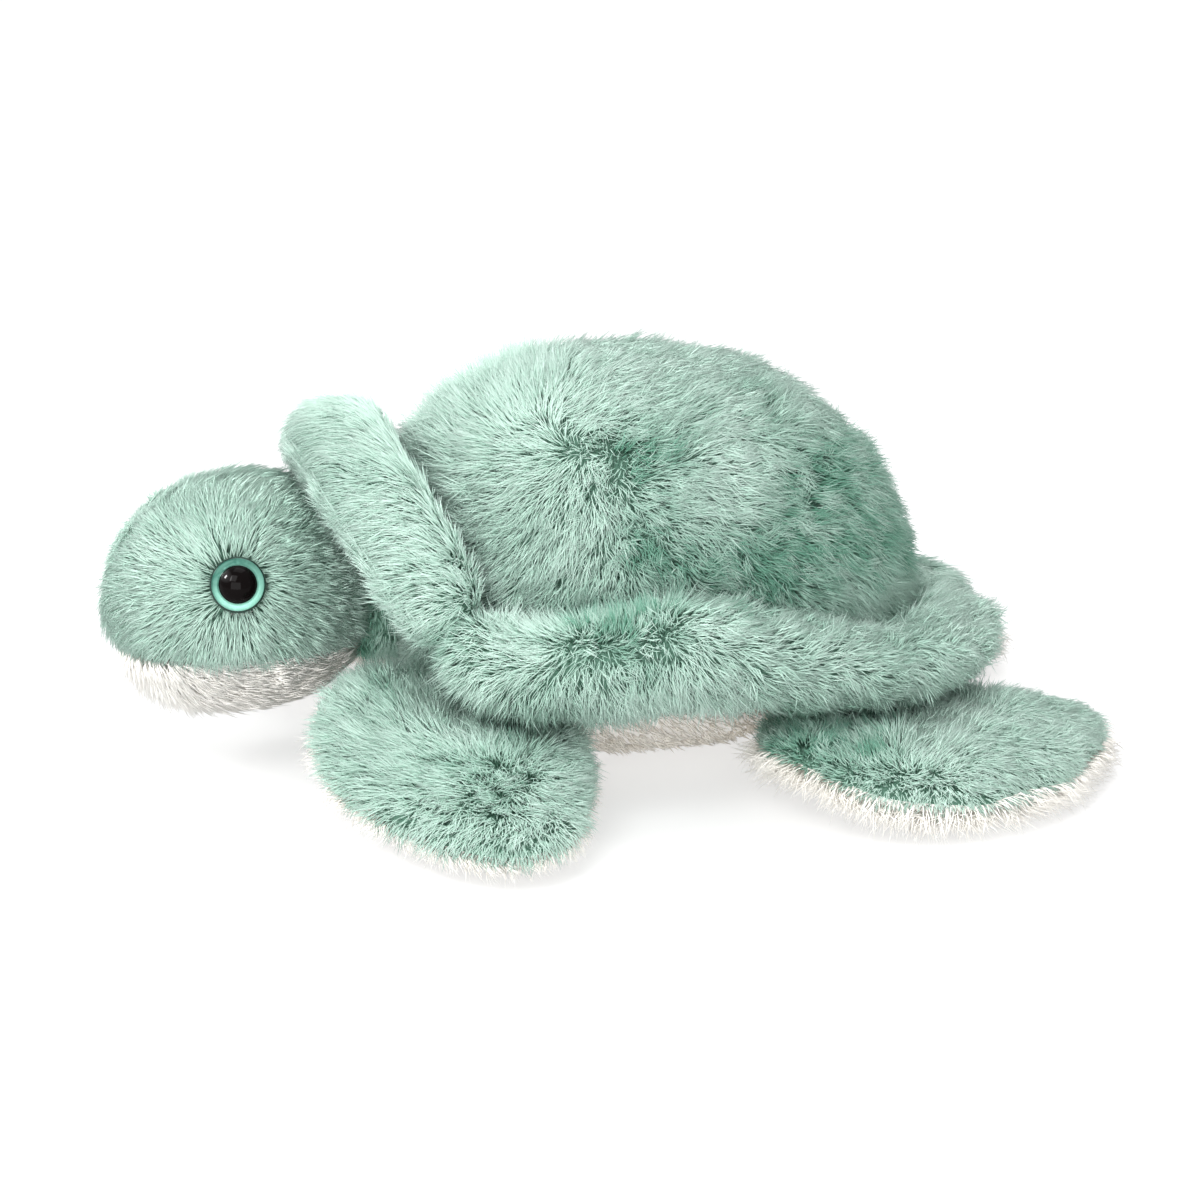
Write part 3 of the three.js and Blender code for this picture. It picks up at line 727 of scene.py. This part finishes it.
def nearness(points, others):
    """Which points lie well inside another skin, and how far each is from the nearest one."""
    hidden, least = np.zeros(len(points), bool), np.full(len(points), FAR)
    for tree, (low, high) in others:
        near = ((points > low - NEAR) & (points < high + NEAR)).all(1) & ~hidden
        for i in np.flatnonzero(near):
            place, normal, _, gap = tree.find_nearest(Vector(points[i]))
            inside = (Vector(points[i]) - place).dot(normal) < 0
            hidden[i] = inside and gap > BURIED
            least[i] = min(least[i], 0.0 if inside else gap)
    return hidden, least


def open_roots(skin, where, density):
    """Roots where the test holds, the normals there, and how close other skins lie, which shortens the pile
    and paints shade on it.
    """
    roots, normals = scatter(skin, density)
    kept = where(roots, normals)
    roots, normals = roots[kept], normals[kept]
    hidden, gap = nearness(roots, [SKIN_TREES[s.name] for s in ALL_SKINS if s is not skin])
    return roots[~hidden], normals[~hidden], np.exp(-((gap[~hidden] / PINCH_AND_SHADE_WIDTH) ** 2))


ALL_SKINS = [body_skin, head_skin, neck_skin, collar_skin, rim_left_skin, rim_right_skin]
ALL_SKINS += flipper_skins.values()
SKIN_TREES = {}
for skin in ALL_SKINS:
    corners, places, _ = surface(skin)
    tree = BVHTree.FromPolygons(places.tolist(), corners.tolist())
    SKIN_TREES[skin.name] = (tree, (places.min(0), places.max(0)))
print("skins that pinch each other's pile:", len(SKIN_TREES))

# %% [markdown]
# A strand is a spindle of six faces: a point just inside the skin, a small triangle where it bends,
# a little under half way up, and a point at the tip. Strands near each other gather into locks, as
# the fibres of real pile cling together.

# %% Strands
ROOT_DEPTH, OVER_FLOOR = 0.4, 0.35
BEND = 0.42
LOCK_WIDTH, LOCK_PULL = 3.6, (0.25, 0.85)
SPINDLE = np.array(
    [(0, 1 + (k + 1) % 3, 1 + k) for k in range(3)] + [(1 + k, 1 + (k + 1) % 3, 4) for k in range(3)]
)


def locks(roots, density):
    """The strand in the middle of each strand's lock."""
    each = max(int(density * LOCK_WIDTH**2 * 0.8), 1)
    centres = chance.choice(len(roots), max(len(roots) // each, 1), replace=False)
    tree = KDTree(len(centres))
    for k, i in enumerate(centres):
        tree.insert(roots[i], k)
    tree.balance()
    return centres[np.array([tree.find(p)[1] for p in roots])]


def strand_curve(bottom, normals, lean, way, curl, length, droop):
    """Where each strand bends and where it ends."""
    rise = unit(normals + 0.6 * (lean[:, None] * way))
    upright = normals * (1.0 - 0.5 * lean.clip(0, 1.6))[:, None]
    lie = unit(upright + lean[:, None] * curl - np.array((0, 0, droop)))
    middle = bottom + rise * (length * BEND)[:, None]
    return [middle, middle + lie * (length * (1 - BEND))[:, None]]


def spindles(bottom, middle, end, normals, thick):
    """The five points of each strand: its root, three round its bend and its tip."""
    ahead = unit(end - bottom)
    side = unit(np.cross(ahead, normals + 0.01))
    other = np.cross(ahead, side)
    ring = [
        middle + (math.cos(angle) * side + math.sin(angle) * other) * thick[:, None]
        for angle in (0, 2 * math.pi / 3, 4 * math.pi / 3)
    ]
    return np.stack([bottom, *ring, end], 1)


# %% [markdown]
# Each strand strays from the brushing by itself and together with its lock, and slow waves press
# it down here and lift it there. In dark places it strays most and stands up, so that one looks
# down to the roots, and its colour is painted darker there as painted shade.

# %% Laying strands
TIP_REACH = 4.5
MAP_STEP = 0.012  # keeps the corners of a strand apart on its map


def lay(skin, where, brush, kind, density, length, clump, droop, width, painted_light, rough):
    """The strands of one kind on one skin: their points and their places on the pile's map."""
    roots, normals, pinch_and_shade = open_roots(skin, where, density)
    count = len(roots)
    lock = locks(roots, density)

    def own(spread):
        return chance.normal(0, spread, count)

    def shared(spread):
        return own(spread)[lock]

    way, lean = brush(roots, normals)
    way = along_skin(way, normals)
    dark = rough * parted_and_shaded_share(roots + way * (TIP_REACH * lean.clip(0, 1.2))[:, None])
    angle = 0.2 * waves(roots, 24, 3) + 0.22 * waves(roots, 8, 23) + own(0.2)
    way = turned_about(way, normals, (angle + shared(0.2)) * (rough + 2.2 * dark))
    press = 0.14 * waves(roots, 16, 5) + 0.2 * waves(roots, 7, 29) + shared(0.14)
    lean = (lean * (1 - 0.5 * dark) * (1.15 + press * rough) + own(0.12)).clip(0.02, 1.9)
    size = length(roots) if callable(length) else length
    size = kind["scale"] * size * (1 + 0.1 * waves(roots, 9, 11) + own(0.15)).clip(0.5, 1.5)
    size = size * (1 - 0.15 * dark) * (1 - 0.45 * pinch_and_shade)
    # Painted shade: strands are painted darker in the dark places and where other skins lie close.
    light = 0.8 - 0.75 * dark - 0.65 * pinch_and_shade + 0.06 * waves(roots, 22, 17)
    light += own(0.05) + 0.24 * dark * shared(1)
    # Each pile's own painted light and shade is added to the strands last.
    light = light + (painted_light(roots, normals) if callable(painted_light) else painted_light)

    curl = turned_about(way, normals, own(0.22))
    bottom = roots - normals * ROOT_DEPTH
    curve = strand_curve(bottom, normals, lean, way, curl, size, droop)
    curve = [p + (p[lock] - p) * (clump * pull) for p, pull in zip(curve, LOCK_PULL)]
    light = (light + shared(0.04)).clip(0.02, 0.98)
    for points in curve:
        points[:, 2] = points[:, 2].clip(OVER_FLOOR)
    stacked = spindles(bottom, *curve, normals, width * chance.uniform(0.4, 0.6, count))
    across = light[:, None] + np.array((0, -MAP_STEP, 0, MAP_STEP, 0))
    up = np.array((0, BEND, BEND, BEND, 1)) * kind["tip"]
    chart = np.stack([across.clip(0.001, 0.999), np.broadcast_to(up, across.shape)], 2)
    order = chance.permutation(count)
    return stacked[order], chart[order]


# %% [markdown]
# The pile of a skin is long strands with shorter and darker down between them. Strands are shared
# out at random between pieces, so that no piece grows too large to handle.

# %% Growing pile
MOST_FACES = 190000
KINDS = {
    "pile": {"share": 0.62, "tip": 1.0, "scale": 1.0},
    "down": {"share": 0.38, "tip": 0.85, "scale": 0.8},
}
PILES = {"mint_plush": mint_pile, "cream_plush": cream_pile}
strand_counts = []


def pile_mesh(name, stacked, chart):
    """One mesh of many spindles, with the map that colours them."""
    count, points = stacked.shape[:2]
    faces = (SPINDLE[None] + points * np.arange(count)[:, None, None]).reshape(-1)
    mesh = bpy.data.meshes.new(name)
    mesh.vertices.add(count * points)
    mesh.vertices.foreach_set("co", (stacked * MM).astype(np.float32).ravel())
    mesh.loops.add(len(faces))
    mesh.loops.foreach_set("vertex_index", faces.astype(np.int32))
    mesh.polygons.add(len(faces) // 3)
    mesh.polygons.foreach_set("loop_start", np.arange(0, len(faces), 3, dtype=np.int32))
    mesh.update(calc_edges=True)
    mesh.shade_smooth()
    layer = mesh.uv_layers.new(name="OFBake", do_init=False)
    layer.uv.foreach_set("vector", chart.reshape(-1, 2)[faces].astype(np.float32).ravel())
    pile = bpy.data.objects.new(name, mesh)
    bpy.context.collection.objects.link(pile)
    return pile


def grow(
    name, skin, body, slot, density, length, where, brush,
    clump=0.22, droop=0.06, width=0.31, painted_light=0.0, rough=1.0,
):
    """Pile on the part of a skin where the test holds, as one or more pieces."""
    for word, kind in KINDS.items():
        many = density * kind["share"]
        stacked, chart = lay(skin, where, brush, kind, many, length, clump, droop, width, painted_light, rough)
        pieces = max(1, math.ceil(len(stacked) * len(SPINDLE) / MOST_FACES))
        for k in range(pieces):
            number = f"_{k + 1}" if pieces > 1 else ""
            made = pile_mesh(f"{name}_{word}{number}", stacked[k::pieces], chart[k::pieces])
            made.data.materials.append(PILES[slot])
            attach(made, body)
        strand_counts.append(len(stacked))
        print(f"{name}_{word}: {len(stacked)} strands in {pieces} pieces")


# %% [markdown]
# How the pile is brushed was read off the photograph by eye, so it's written in the picture's
# plane. A row of brushing is a place in millimetres right and up of the middle, the way the strands
# point in degrees, and how flat they lie: 0 stands up and 1 leans far over. A dark place is a
# place, how far it reaches, and how strongly the pile stands up there and shows its roots and is
# painted darker as painted shade, as under the rims and between the forms. The hidden side is the
# mirror image.

# %% Brushing
RIGHT, AHEAD, UP = (np.array(v) for v in (look_right, look_ahead, look_up))
AIM = np.array(aim) / MM
SHELL_BRUSHING = [
    (-44, 52, 150, 0.5), (-31, 59, 150, 0.6), (-19, 55, 60, 0.5), (-25, 55, 110, 0.4),
    (-20, 47, 110, 0.4), (0, 64, 12, 1.4), (23, 65, 0, 1.4), (42, 59, -20, 1.4),
    (57, 46, -45, 1.3), (68, 26, -60, 1.1), (78, 10, -75, 1.1), (10, 51, 8, 1.2),
    (31, 54, 5, 1.1), (-8, 46, 15, 0.9), (-30, 46, 160, 0.7), (-15, 39, -165, 0.8), (0, 32, -95, 0.5),
    (-1, 21, -92, 0.85), (-7, 21, -112, 1.2), (7, 21, -60, 1.0), (-10, 29, -128, 1.1),
    (-21, 29, -147, 1.2), (-31, 26, -165, 1.2), (-38, 35, 170, 0.8), (-34, 14, -165, 1.2),
    (-25, 12, -140, 1.1), (-14, 9, -112, 1.1), (-4, 8, -95, 1.0), (12, 34, -20, 0.75),
    (17, 42, 10, 0.75), (14, 11, -60, 0.75), (23, 24, -25, 0.9), (36, 34, -15, 0.9), (36, 21, -35, 0.8),
    (27, 8, -45, 0.75), (43, 5, -40, 0.75), (52, 16, -45, 0.75), (42, 48, 15, 0.75), (60, 38, -60, 0.75),
    (57, 26, -65, 0.75), (71, 10, -60, 0.9), (64, 2, -30, 0.75),
]
RIM_BRUSHING = [
    (-14, -8, -160, 0.6), (6, -6, -90, 0.3), (0, 4, 90, 0.5), (12, 3, 60, 0.6), (26, 0, 22, 1.0),
    (42, -3, 20, 1.1), (57, -9, 12, 1.1), (73, -12, 20, 1.2), (91, -8, 20, 1.2), (104, -5, 0, 1.2),
    (10, -16, -80, 0.6), (0, -23, -88, 1.2), (13, -26, -78, 1.2), (26, -18, -55, 1.0),
    (26, -29, -75, 1.3), (42, -20, -42, 1.1), (47, -30, -65, 1.3), (62, -23, -40, 1.2),
    (68, -33, -60, 1.3), (83, -21, -32, 1.2), (86, -29, -50, 1.2), (101, -16, -20, 1.2),
    (104, -23, -40, 1.2), (94, 4, 60, 1.0),
]
FRONT_BRUSHING = [
    (-52, -16, 110, 1.1), (-65, -23, 135, 1.2), (-76, -36, 172, 1.3), (-75, -49, -160, 1.3),
    (-60, -32, 158, 1.1), (-44, -26, 115, 0.75), (-52, -46, 178, 1.0), (-40, -45, -150, 0.9),
    (-29, -50, -95, 0.8), (-20, -35, 60, 0.75), (-32, -36, 95, 0.75), (-62, -57, -140, 1.3),
    (-47, -62, -122, 1.2), (-34, -64, -108, 1.3), (-21, -71, -95, 1.35), (-10, -68, -75, 1.35),
    (-19, -57, -85, 1.2), (-10, -45, -25, 1.0), (-1, -47, 0, 1.2), (-3, -60, -35, 1.2),
]
REAR_BRUSHING = [
    (46, -38, 170, 0.75), (53, -40, -60, 0.75), (49, -43, -140, 0.9), (61, -46, -140, 1.0),
    (73, -50, -115, 1.1), (86, -52, -100, 1.1), (86, -40, 35, 1.0), (70, -39, 150, 0.75),
    (100, -40, -15, 1.1), (104, -51, -60, 1.1), (117, -48, -35, 1.2), (126, -38, -8, 1.2),
    (114, -28, -10, 1.2), (94, -30, 60, 0.9), (131, -44, -30, 1.2),
]
# Places where the pile stands up, and where it is painted darker as painted shade.
PARTED_AND_SHADED_PLACES = [
    (11, 34, 8, 0.85), (20, 36, 6, 0.5), (13, 12, 8, 0.85), (26, 7, 8, 0.7), (42, 6, 12, 0.95),
    (54, 10, 10, 0.8), (57, 26, 12, 0.85), (68, 14, 10, 0.8), (70, 34, 10, 0.5), (24, 46, 7, 0.3),
    (42, 47, 9, 0.35), (76, 12, 9, 0.6), (7, -12, 10, 0.7), (-3, -7, 8, 0.5), (18, -8, 8, 0.5),
    (62, -6, 9, 0.3), (82, -12, 9, 0.3), (-21, -34, 9, 0.6), (-39, -46, 7, 0.25), (-27, -52, 6, 0.3),
    (-56, -25, 9, 0.35), (50, -37, 11, 0.85), (70, -37, 10, 0.6), (56, -46, 7, 0.4),
    (-70, -11, 8, 0.15), (-79, -17, 6, 0.15), (-73, 22, 6, 0.3), (-42, -18, 6, 0.3),
]


def seen(points):
    """Where points lie in the picture, in millimetres right and up of its middle."""
    rel = points - AIM
    depth = 1 + rel @ AHEAD * MM / DISTANCE
    return np.stack([rel @ RIGHT, rel @ UP], 1) / depth[:, None]


def halves(points):
    """Factors that carry the toy's right half over to the left one, which the picture shows."""
    across = np.where(points[:, 1] > 0, -1.0, 1.0)[:, None]
    return across * np.array((0, 1, 0)) + np.array((1, 0, 1))


def parted_and_shaded_share(points):
    """How strongly the pile stands up and shows its roots at each point, and is painted darker as painted
    shade, from 0 to 1.
    """
    places = seen(points * halves(points))
    bare = np.ones(len(points))
    for right, up, radius, depth in PARTED_AND_SHADED_PLACES:
        gap = ((places - (right, up)) ** 2).sum(1) / radius**2
        bare *= 1 - depth * np.exp(-gap)
    return ((1 - bare) * (1 + 0.4 * waves(points, 6, 31))).clip(0, 1)


def brushed(rows, flatter=1.0):
    """A brush that follows the nearest rows; where they disagree the pile strays and stands up."""
    rows = np.array(rows, float)
    angle = np.radians(rows[:, 2])

    def brush(points, normals):
        side = halves(points)
        facing = normals * side
        gap = ((seen(points * side)[:, None] - rows[None, :, :2]) ** 2).sum(2)
        share = 1 / (gap + 5) ** 1.7
        share /= share.sum(1, keepdims=True)
        stray = chance.normal(0, 0.2, (2, len(points)))
        right, up = share @ np.cos(angle) + stray[0], share @ np.sin(angle) + stray[1]
        accord = mix(0.4, 1.0, smooth(np.hypot(right, up), 0.1, 0.8))
        way = right[:, None] * RIGHT + up[:, None] * UP
        way -= AHEAD * ((way * facing).sum(1) / np.minimum(facing @ AHEAD, -0.35))[:, None]
        return way * side, share @ rows[:, 3] * flatter * accord

    return brush


# %% [markdown]
# On the head the pile points away from each eye in a rosette and back over the crown. A thin seam
# divides it from the white pile of the chin, so the green is short just above the seam. The green
# is painted a little darker in front and lighter at the back: painted light and shade that evens
# out the lamps. The white chin pile is painted lighter, as painted light on its shaded underside.

# %% Head pile
def rosette(points, normals):
    way = np.zeros_like(points)
    for seat in EYE_SEATS:
        gap = points - seat
        way += gap / np.maximum((gap**2).sum(1, keepdims=True), 4) ** 1.2
    near = np.exp(-(((eye_gap(points) - EYE_RADIUS) / 5) ** 2))
    back = smooth(points[:, 0], -72, -58)
    return way + np.array((0.004, 0, 0.001)), 1.3 + 0.4 * near - 0.75 * back


def chin_brush(points, normals):
    return points - HEAD + np.array((30, 0, 0)), 1.8 - 1.0 * smooth(-points[:, 0], 90, 114)


grow(
    "head", head_skin, "head", "mint_plush", 3.9,
    lambda p: 9.0 - 4.0 * smooth(p[:, 2], CHIN_SEAM_Z + 7, CHIN_SEAM_Z),
    where=lambda p, n: (eye_gap(p) > EYE_RADIUS - 1.3) & (p[:, 2] > CHIN_SEAM_Z),
    brush=rosette,
    # Painted light and shade: darker in front, lighter at the back of the head.
    painted_light=lambda p, n: mix(-0.1, 0.3, smooth(p[:, 0], -78, -62)),
    rough=0.6,
)
grow(
    "chin", head_skin, "head", "cream_plush", 3.2,
    lambda p: 6.0 + 2.5 * smooth(-p[:, 0], 88, 112),
    where=lambda p, n: p[:, 2] < CHIN_SEAM_Z,
    brush=chin_brush,
    # Painted light: the white chin pile is painted lighter all over.
    clump=0.0, droop=0.0, width=0.4, painted_light=0.18, rough=0.3,
)

# %% [markdown]
# The eyes are bought parts: a black domed pupil on a green metallic ring with a thin dark edge.
# The pupil reflects little, so that it stays black, except in a painted highlight spot at its upper
# front: only there a coat reflects the small lamp beside the head, which gives the one highlight
# that the photograph shows.

# %% Eye finishes
HIGHLIGHT_SPOT_AHEAD, HIGHLIGHT_SPOT_UP, HIGHLIGHT_SPOT_RADIUS = 3.4, 3.2, 1.7
pupil_finish, pupil_tree, pupil_shader = new_material(
    "eye_pupil", Base_Color=(0.003, 0.002, 0.002, 1), Roughness=0.02, Specular_IOR_Level=0.05
)


def ahead_and_above(tree):
    """Places on an object, along the toy and up."""
    place = node(tree, "ShaderNodeTexCoord", out=OBJECT_PLACE)
    return (node(tree, "ShaderNodeSeparateXYZ", None, [place], out=axis) for axis in (0, 2))


ahead, above = ahead_and_above(pupil_tree)
ahead = (ahead - (EYE_X - HIGHLIGHT_SPOT_AHEAD) * MM) / (HIGHLIGHT_SPOT_RADIUS * MM)
above = (above - (EYE_Z + HIGHLIGHT_SPOT_UP) * MM) / (HIGHLIGHT_SPOT_RADIUS * MM)
# Painted highlight spot: the coat lies only in a small disc where the highlight falls.
feed(pupil_tree, pupil_shader, "Coat Weight", 1.0 - (ahead * ahead + above * above))
edge_finish, _, _ = new_material(
    "eye_edge", Base_Color=(0.004, 0.02, 0.014, 1), Roughness=0.2, Specular_IOR_Level=0.3
)
ring_finish, ring_tree, ring_shader = new_material(
    "eye_ring", Metallic=0.5, Roughness=0.35, Coat_Weight=0.2, Coat_Roughness=0.03
)
grain_place = node(ring_tree, "ShaderNodeTexCoord", out=OBJECT_PLACE)
glints = node(ring_tree, "ShaderNodeTexNoise", None, {"Vector": grain_place, "Scale": 900.0, "Detail": 3.0})
ahead, above = ahead_and_above(ring_tree)
# Painted light: the ring is lighter low at the rear and darker high in front, as light through the dome
# falls on it, and fine noise adds painted glints.
painted_light_slope = (ahead - EYE_X * MM) / (20 * MM) - (above - EYE_Z * MM) / (14 * MM) + 0.3
ring_colour = mixed_colour(ring_tree, painted_light_slope + glints * 0.4, (0.006, 0.08, 0.055, 1), (0.22, 0.5, 0.4, 1))
feed(ring_tree, ring_shader, "Base Color", ring_colour)

# %% [markdown]
# Each eye is turned round its own axis from a profile, the way its mould is cut. The profile runs
# from the stem inside the head to the top of the dome, as radius and height.

# %% Eyes
EYE_PROFILE = [
    (2.0, -10.5), (2.0, -1.2), (6.4, -1.2), (6.9, -0.6), (7.0, 0.3), (6.85, 1.0), (6.5, 1.5), (6.1, 1.65),
    (5.3, 1.75), (4.75, 1.8), (4.6, 2.3), (4.1, 3.1), (3.2, 3.9), (2.1, 4.4), (1.0, 4.65), (0.0, 4.7),
]
EDGE, RING, PUPIL = 0, 1, 2
EDGE_HEIGHT, RING_RADIUS, PUPIL_RADIUS = 1.4, 6.3, 4.75
POINT_RADIUS = 0.02


def make_eye(word):
    seat, outward = EYES[word]
    bpy.ops.object.select_all(action="DESELECT")
    bpy.ops.mesh.primitive_circle_add(vertices=48, radius=EYE_PROFILE[0][0] * MM, fill_type="NGON")
    eye = bpy.context.object
    eye.name = eye.data.name = f"eye_{word}_button"
    for finish in (edge_finish, ring_finish, pupil_finish):
        eye.data.materials.append(finish)
    bpy.ops.object.mode_set(mode="EDIT")
    bpy.ops.mesh.select_all(action="SELECT")
    bpy.ops.transform.translate(value=(0, 0, EYE_PROFILE[0][1] * MM))
    for (was, low), (now, high) in zip(EYE_PROFILE, EYE_PROFILE[1:]):
        bpy.ops.mesh.extrude_region_move(TRANSFORM_OT_translate={"value": (0, 0, (high - low) * MM)})
        shrink = max(now, POINT_RADIUS) / was
        bpy.ops.transform.resize(value=(shrink, shrink, 1))
    bpy.ops.mesh.merge(type="CENTER")
    bpy.ops.mesh.select_all(action="SELECT")
    bpy.ops.mesh.normals_make_consistent(inside=False)
    bpy.ops.mesh.faces_shade_smooth()
    bpy.ops.object.mode_set(mode="OBJECT")
    for face in eye.data.polygons:
        radius = math.hypot(*face.center[:2]) / MM
        if face.center[2] > EDGE_HEIGHT * MM:
            face.material_index = PUPIL if radius < PUPIL_RADIUS else RING if radius < RING_RADIUS else EDGE
    turn = Vector((0, 0, 1)).rotation_difference(Vector(outward)).to_matrix().to_4x4()
    eye.data.transform(Matrix.Translation(Vector(seat * MM)) @ turn)
    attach(eye, "head")
    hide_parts(f"eye_{word}")
    print(eye.name, "faces:", len(eye.data.polygons))


for word in EYES:
    make_eye(word)

# %% [markdown]
# The shell is sewn from five panels. The top one is brushed smooth to the rear. The side panels
# fall away from the seams, and here and there the pile stands up and shows its dark roots and is
# painted darker there as painted shade. In front, where the shell meets the collar, it is longer.
# The belly has only a thin, short pile, painted darker as painted shade under the rim.

# %% Shell and belly pile
grow(
    "shell", body_skin, "body", "mint_plush", 3.2,
    lambda p: 9.5 + 5.5 * smooth(-p[:, 0], 20, 38) * smooth(p[:, 2], 64, 80),
    where=lambda p, n: green_body(p),
    brush=brushed(SHELL_BRUSHING),
)
grow(
    "belly", body_skin, "body", "cream_plush", 0.5, 4.5,
    where=lambda p, n: ~green_body(p) & (p[:, 2] > FLOOR_GAP + 0.05),
    brush=lambda p, n: (np.zeros_like(p) + (1, 0, 0), np.full(len(p), 1.1)),
    # Painted shade: the belly pile is painted darker, as it lies under the rim.
    clump=0.2, droop=0.0, width=0.5, painted_light=-0.45,
)

# %% [markdown]
# The collar is brushed from its crest over its outer face. On its inner side the pile leans back
# towards the shell, and low down it is painted darker: painted shade in the valley against the
# shell. The rims hang down over the flippers in long locks.

# %% Collar and rim pile
def collar_inside(points):
    """How far points lie on the collar's inner side, behind the line that the pile parts on."""
    return smooth(roll_sides(points)[3], -0.7, -0.92)


def collar_brush(points, normals):
    line, outward, upward, _ = roll_sides(points)
    over = np.cross(line, normals)
    over *= np.sign((over * (outward - upward * 0.3)).sum(1))[:, None]
    inside = collar_inside(points)[:, None]
    down = 1.4 * smooth(points[:, 2], 96, 88)[:, None]
    way = mix(unit(over) + 0.35 * line, outward * -1.0 - upward * down, inside)
    return way, mix(1.35, 0.9, inside[:, 0])


grow(
    "collar", collar_skin, "body", "mint_plush", 3.8,
    lambda p: 8.5 + collar_inside(p) * mix(-4.0, 4.0, smooth(p[:, 2], 86, 94)),
    where=lambda p, n: p[:, 2] > 0,
    brush=collar_brush,
    # Painted shade: darker low on the inner side, against the shell.
    painted_light=lambda p, n: -0.5 * collar_inside(p) * smooth(p[:, 2], 97, 90),
    rough=0.55,
)
for part, skin in (("rim_left", rim_left_skin), ("rim_right", rim_right_skin)):
    grow(
        part, skin, "body", "mint_plush", 3.15, 9.5,
        where=lambda p, n: p[:, 2] > 0,
        brush=brushed(RIM_BRUSHING, 1.1),
    )

# %% [markdown]
# A flipper is green above its edge seam and white below, and the white pile stands out all round
# so that it shows as a band.

# %% Flipper pile
def outward_brush(middle):
    """A brush that leads away from a middle, and a little down."""

    def brush(points, normals):
        out = (points - middle) * (1, 1, 0)
        return unit(out) - np.array((0, 0, 0.6)), np.full(len(points), 0.8)

    return brush


# Each kind of flipper: its brushing, the painted shade that makes its green top a little darker against the
# light on it, how much shorter the green is at the seam, and how long the white fringe is.
FLIPPER_PILE = {"front": (FRONT_BRUSHING, -0.07, 3.0, 7.0), "rear": (REAR_BRUSHING, -0.04, 4.0, 9.5)}
for name, skin in flipper_skins.items():
    flipper, side = FLIPPERS[name]
    root, outward, _ = flipper_axes(flipper, side)
    middle = root + outward * 0.42 * flipper["reach"] + np.array((0, 0, 4.0))
    lift = seam_lift(name)
    rows, painted_light, shorter, fringe = FLIPPER_PILE[name.split("_")[0]]
    grow(
        f"{name}_top", skin, name, "mint_plush", 3.3,
        lambda p: 9.0 - shorter * smooth(flipper_level(name, p), 5, lift),
        where=lambda p, n: flipper_level(name, p) > lift - 0.5,
        brush=brushed(rows),
        painted_light=painted_light,
    )
    grow(
        f"{name}_bottom", skin, name, "cream_plush", 2.8, fringe,
        where=lambda p, n: (flipper_level(name, p) <= lift + 0.5) & (chance.random(len(p)) < 1.35 + n[:, 2]),
        brush=outward_brush(middle),
        clump=0.1, droop=0.0, width=0.3, rough=0.4,
    )

# %% [markdown]
# The neck shows only between the collar and the head, in the shade. Its pile is thin and painted
# dark, as painted shade.

# %% Neck pile
grow(
    "neck", neck_skin, "neck", "mint_plush", 1.6, 5.5,
    where=lambda p, n: p[:, 2] > 0,
    brush=lambda p, n: (p - (NECK + np.array((0, 0, 4.0))), np.full(len(p), 0.5)),
    # Painted shade: the neck pile is painted darker.
    painted_light=-0.3,
)
print("strands in all:", sum(strand_counts), "faces:", sum(strand_counts) * len(SPINDLE))

# %% [markdown]
# The washers that hold the eyes stay inside the head. They are plain moulded nylon. The floor is
# matt and glows a little, so that it reads as the white of the photograph.

# %% Washers and floor finish
nylon, nylon_tree, nylon_shader = new_material("nylon", Roughness=0.45)
nylon_place = node(nylon_tree, "ShaderNodeTexCoord", out=OBJECT_PLACE)
clouds = node(nylon_tree, "ShaderNodeTexNoise", None, {"Vector": nylon_place, "Scale": 300.0})
nylon_colour = mixed_colour(nylon_tree, clouds, (0.85, 0.84, 0.8, 1), (0.93, 0.92, 0.89, 1))
feed(nylon_tree, nylon_shader, "Base Color", nylon_colour)
for word in EYES:
    washer = frame["nodes"][f"eye_washer_{word}"]
    washer.data.materials.clear()
    washer.data.materials.append(nylon)

floor_finish, _, _ = new_material(
    "floor_finish", Base_Color=(0.5, 0.5, 0.5, 1), Roughness=0.9, Emission_Strength=0.52
)
floor.data.materials.append(floor_finish)
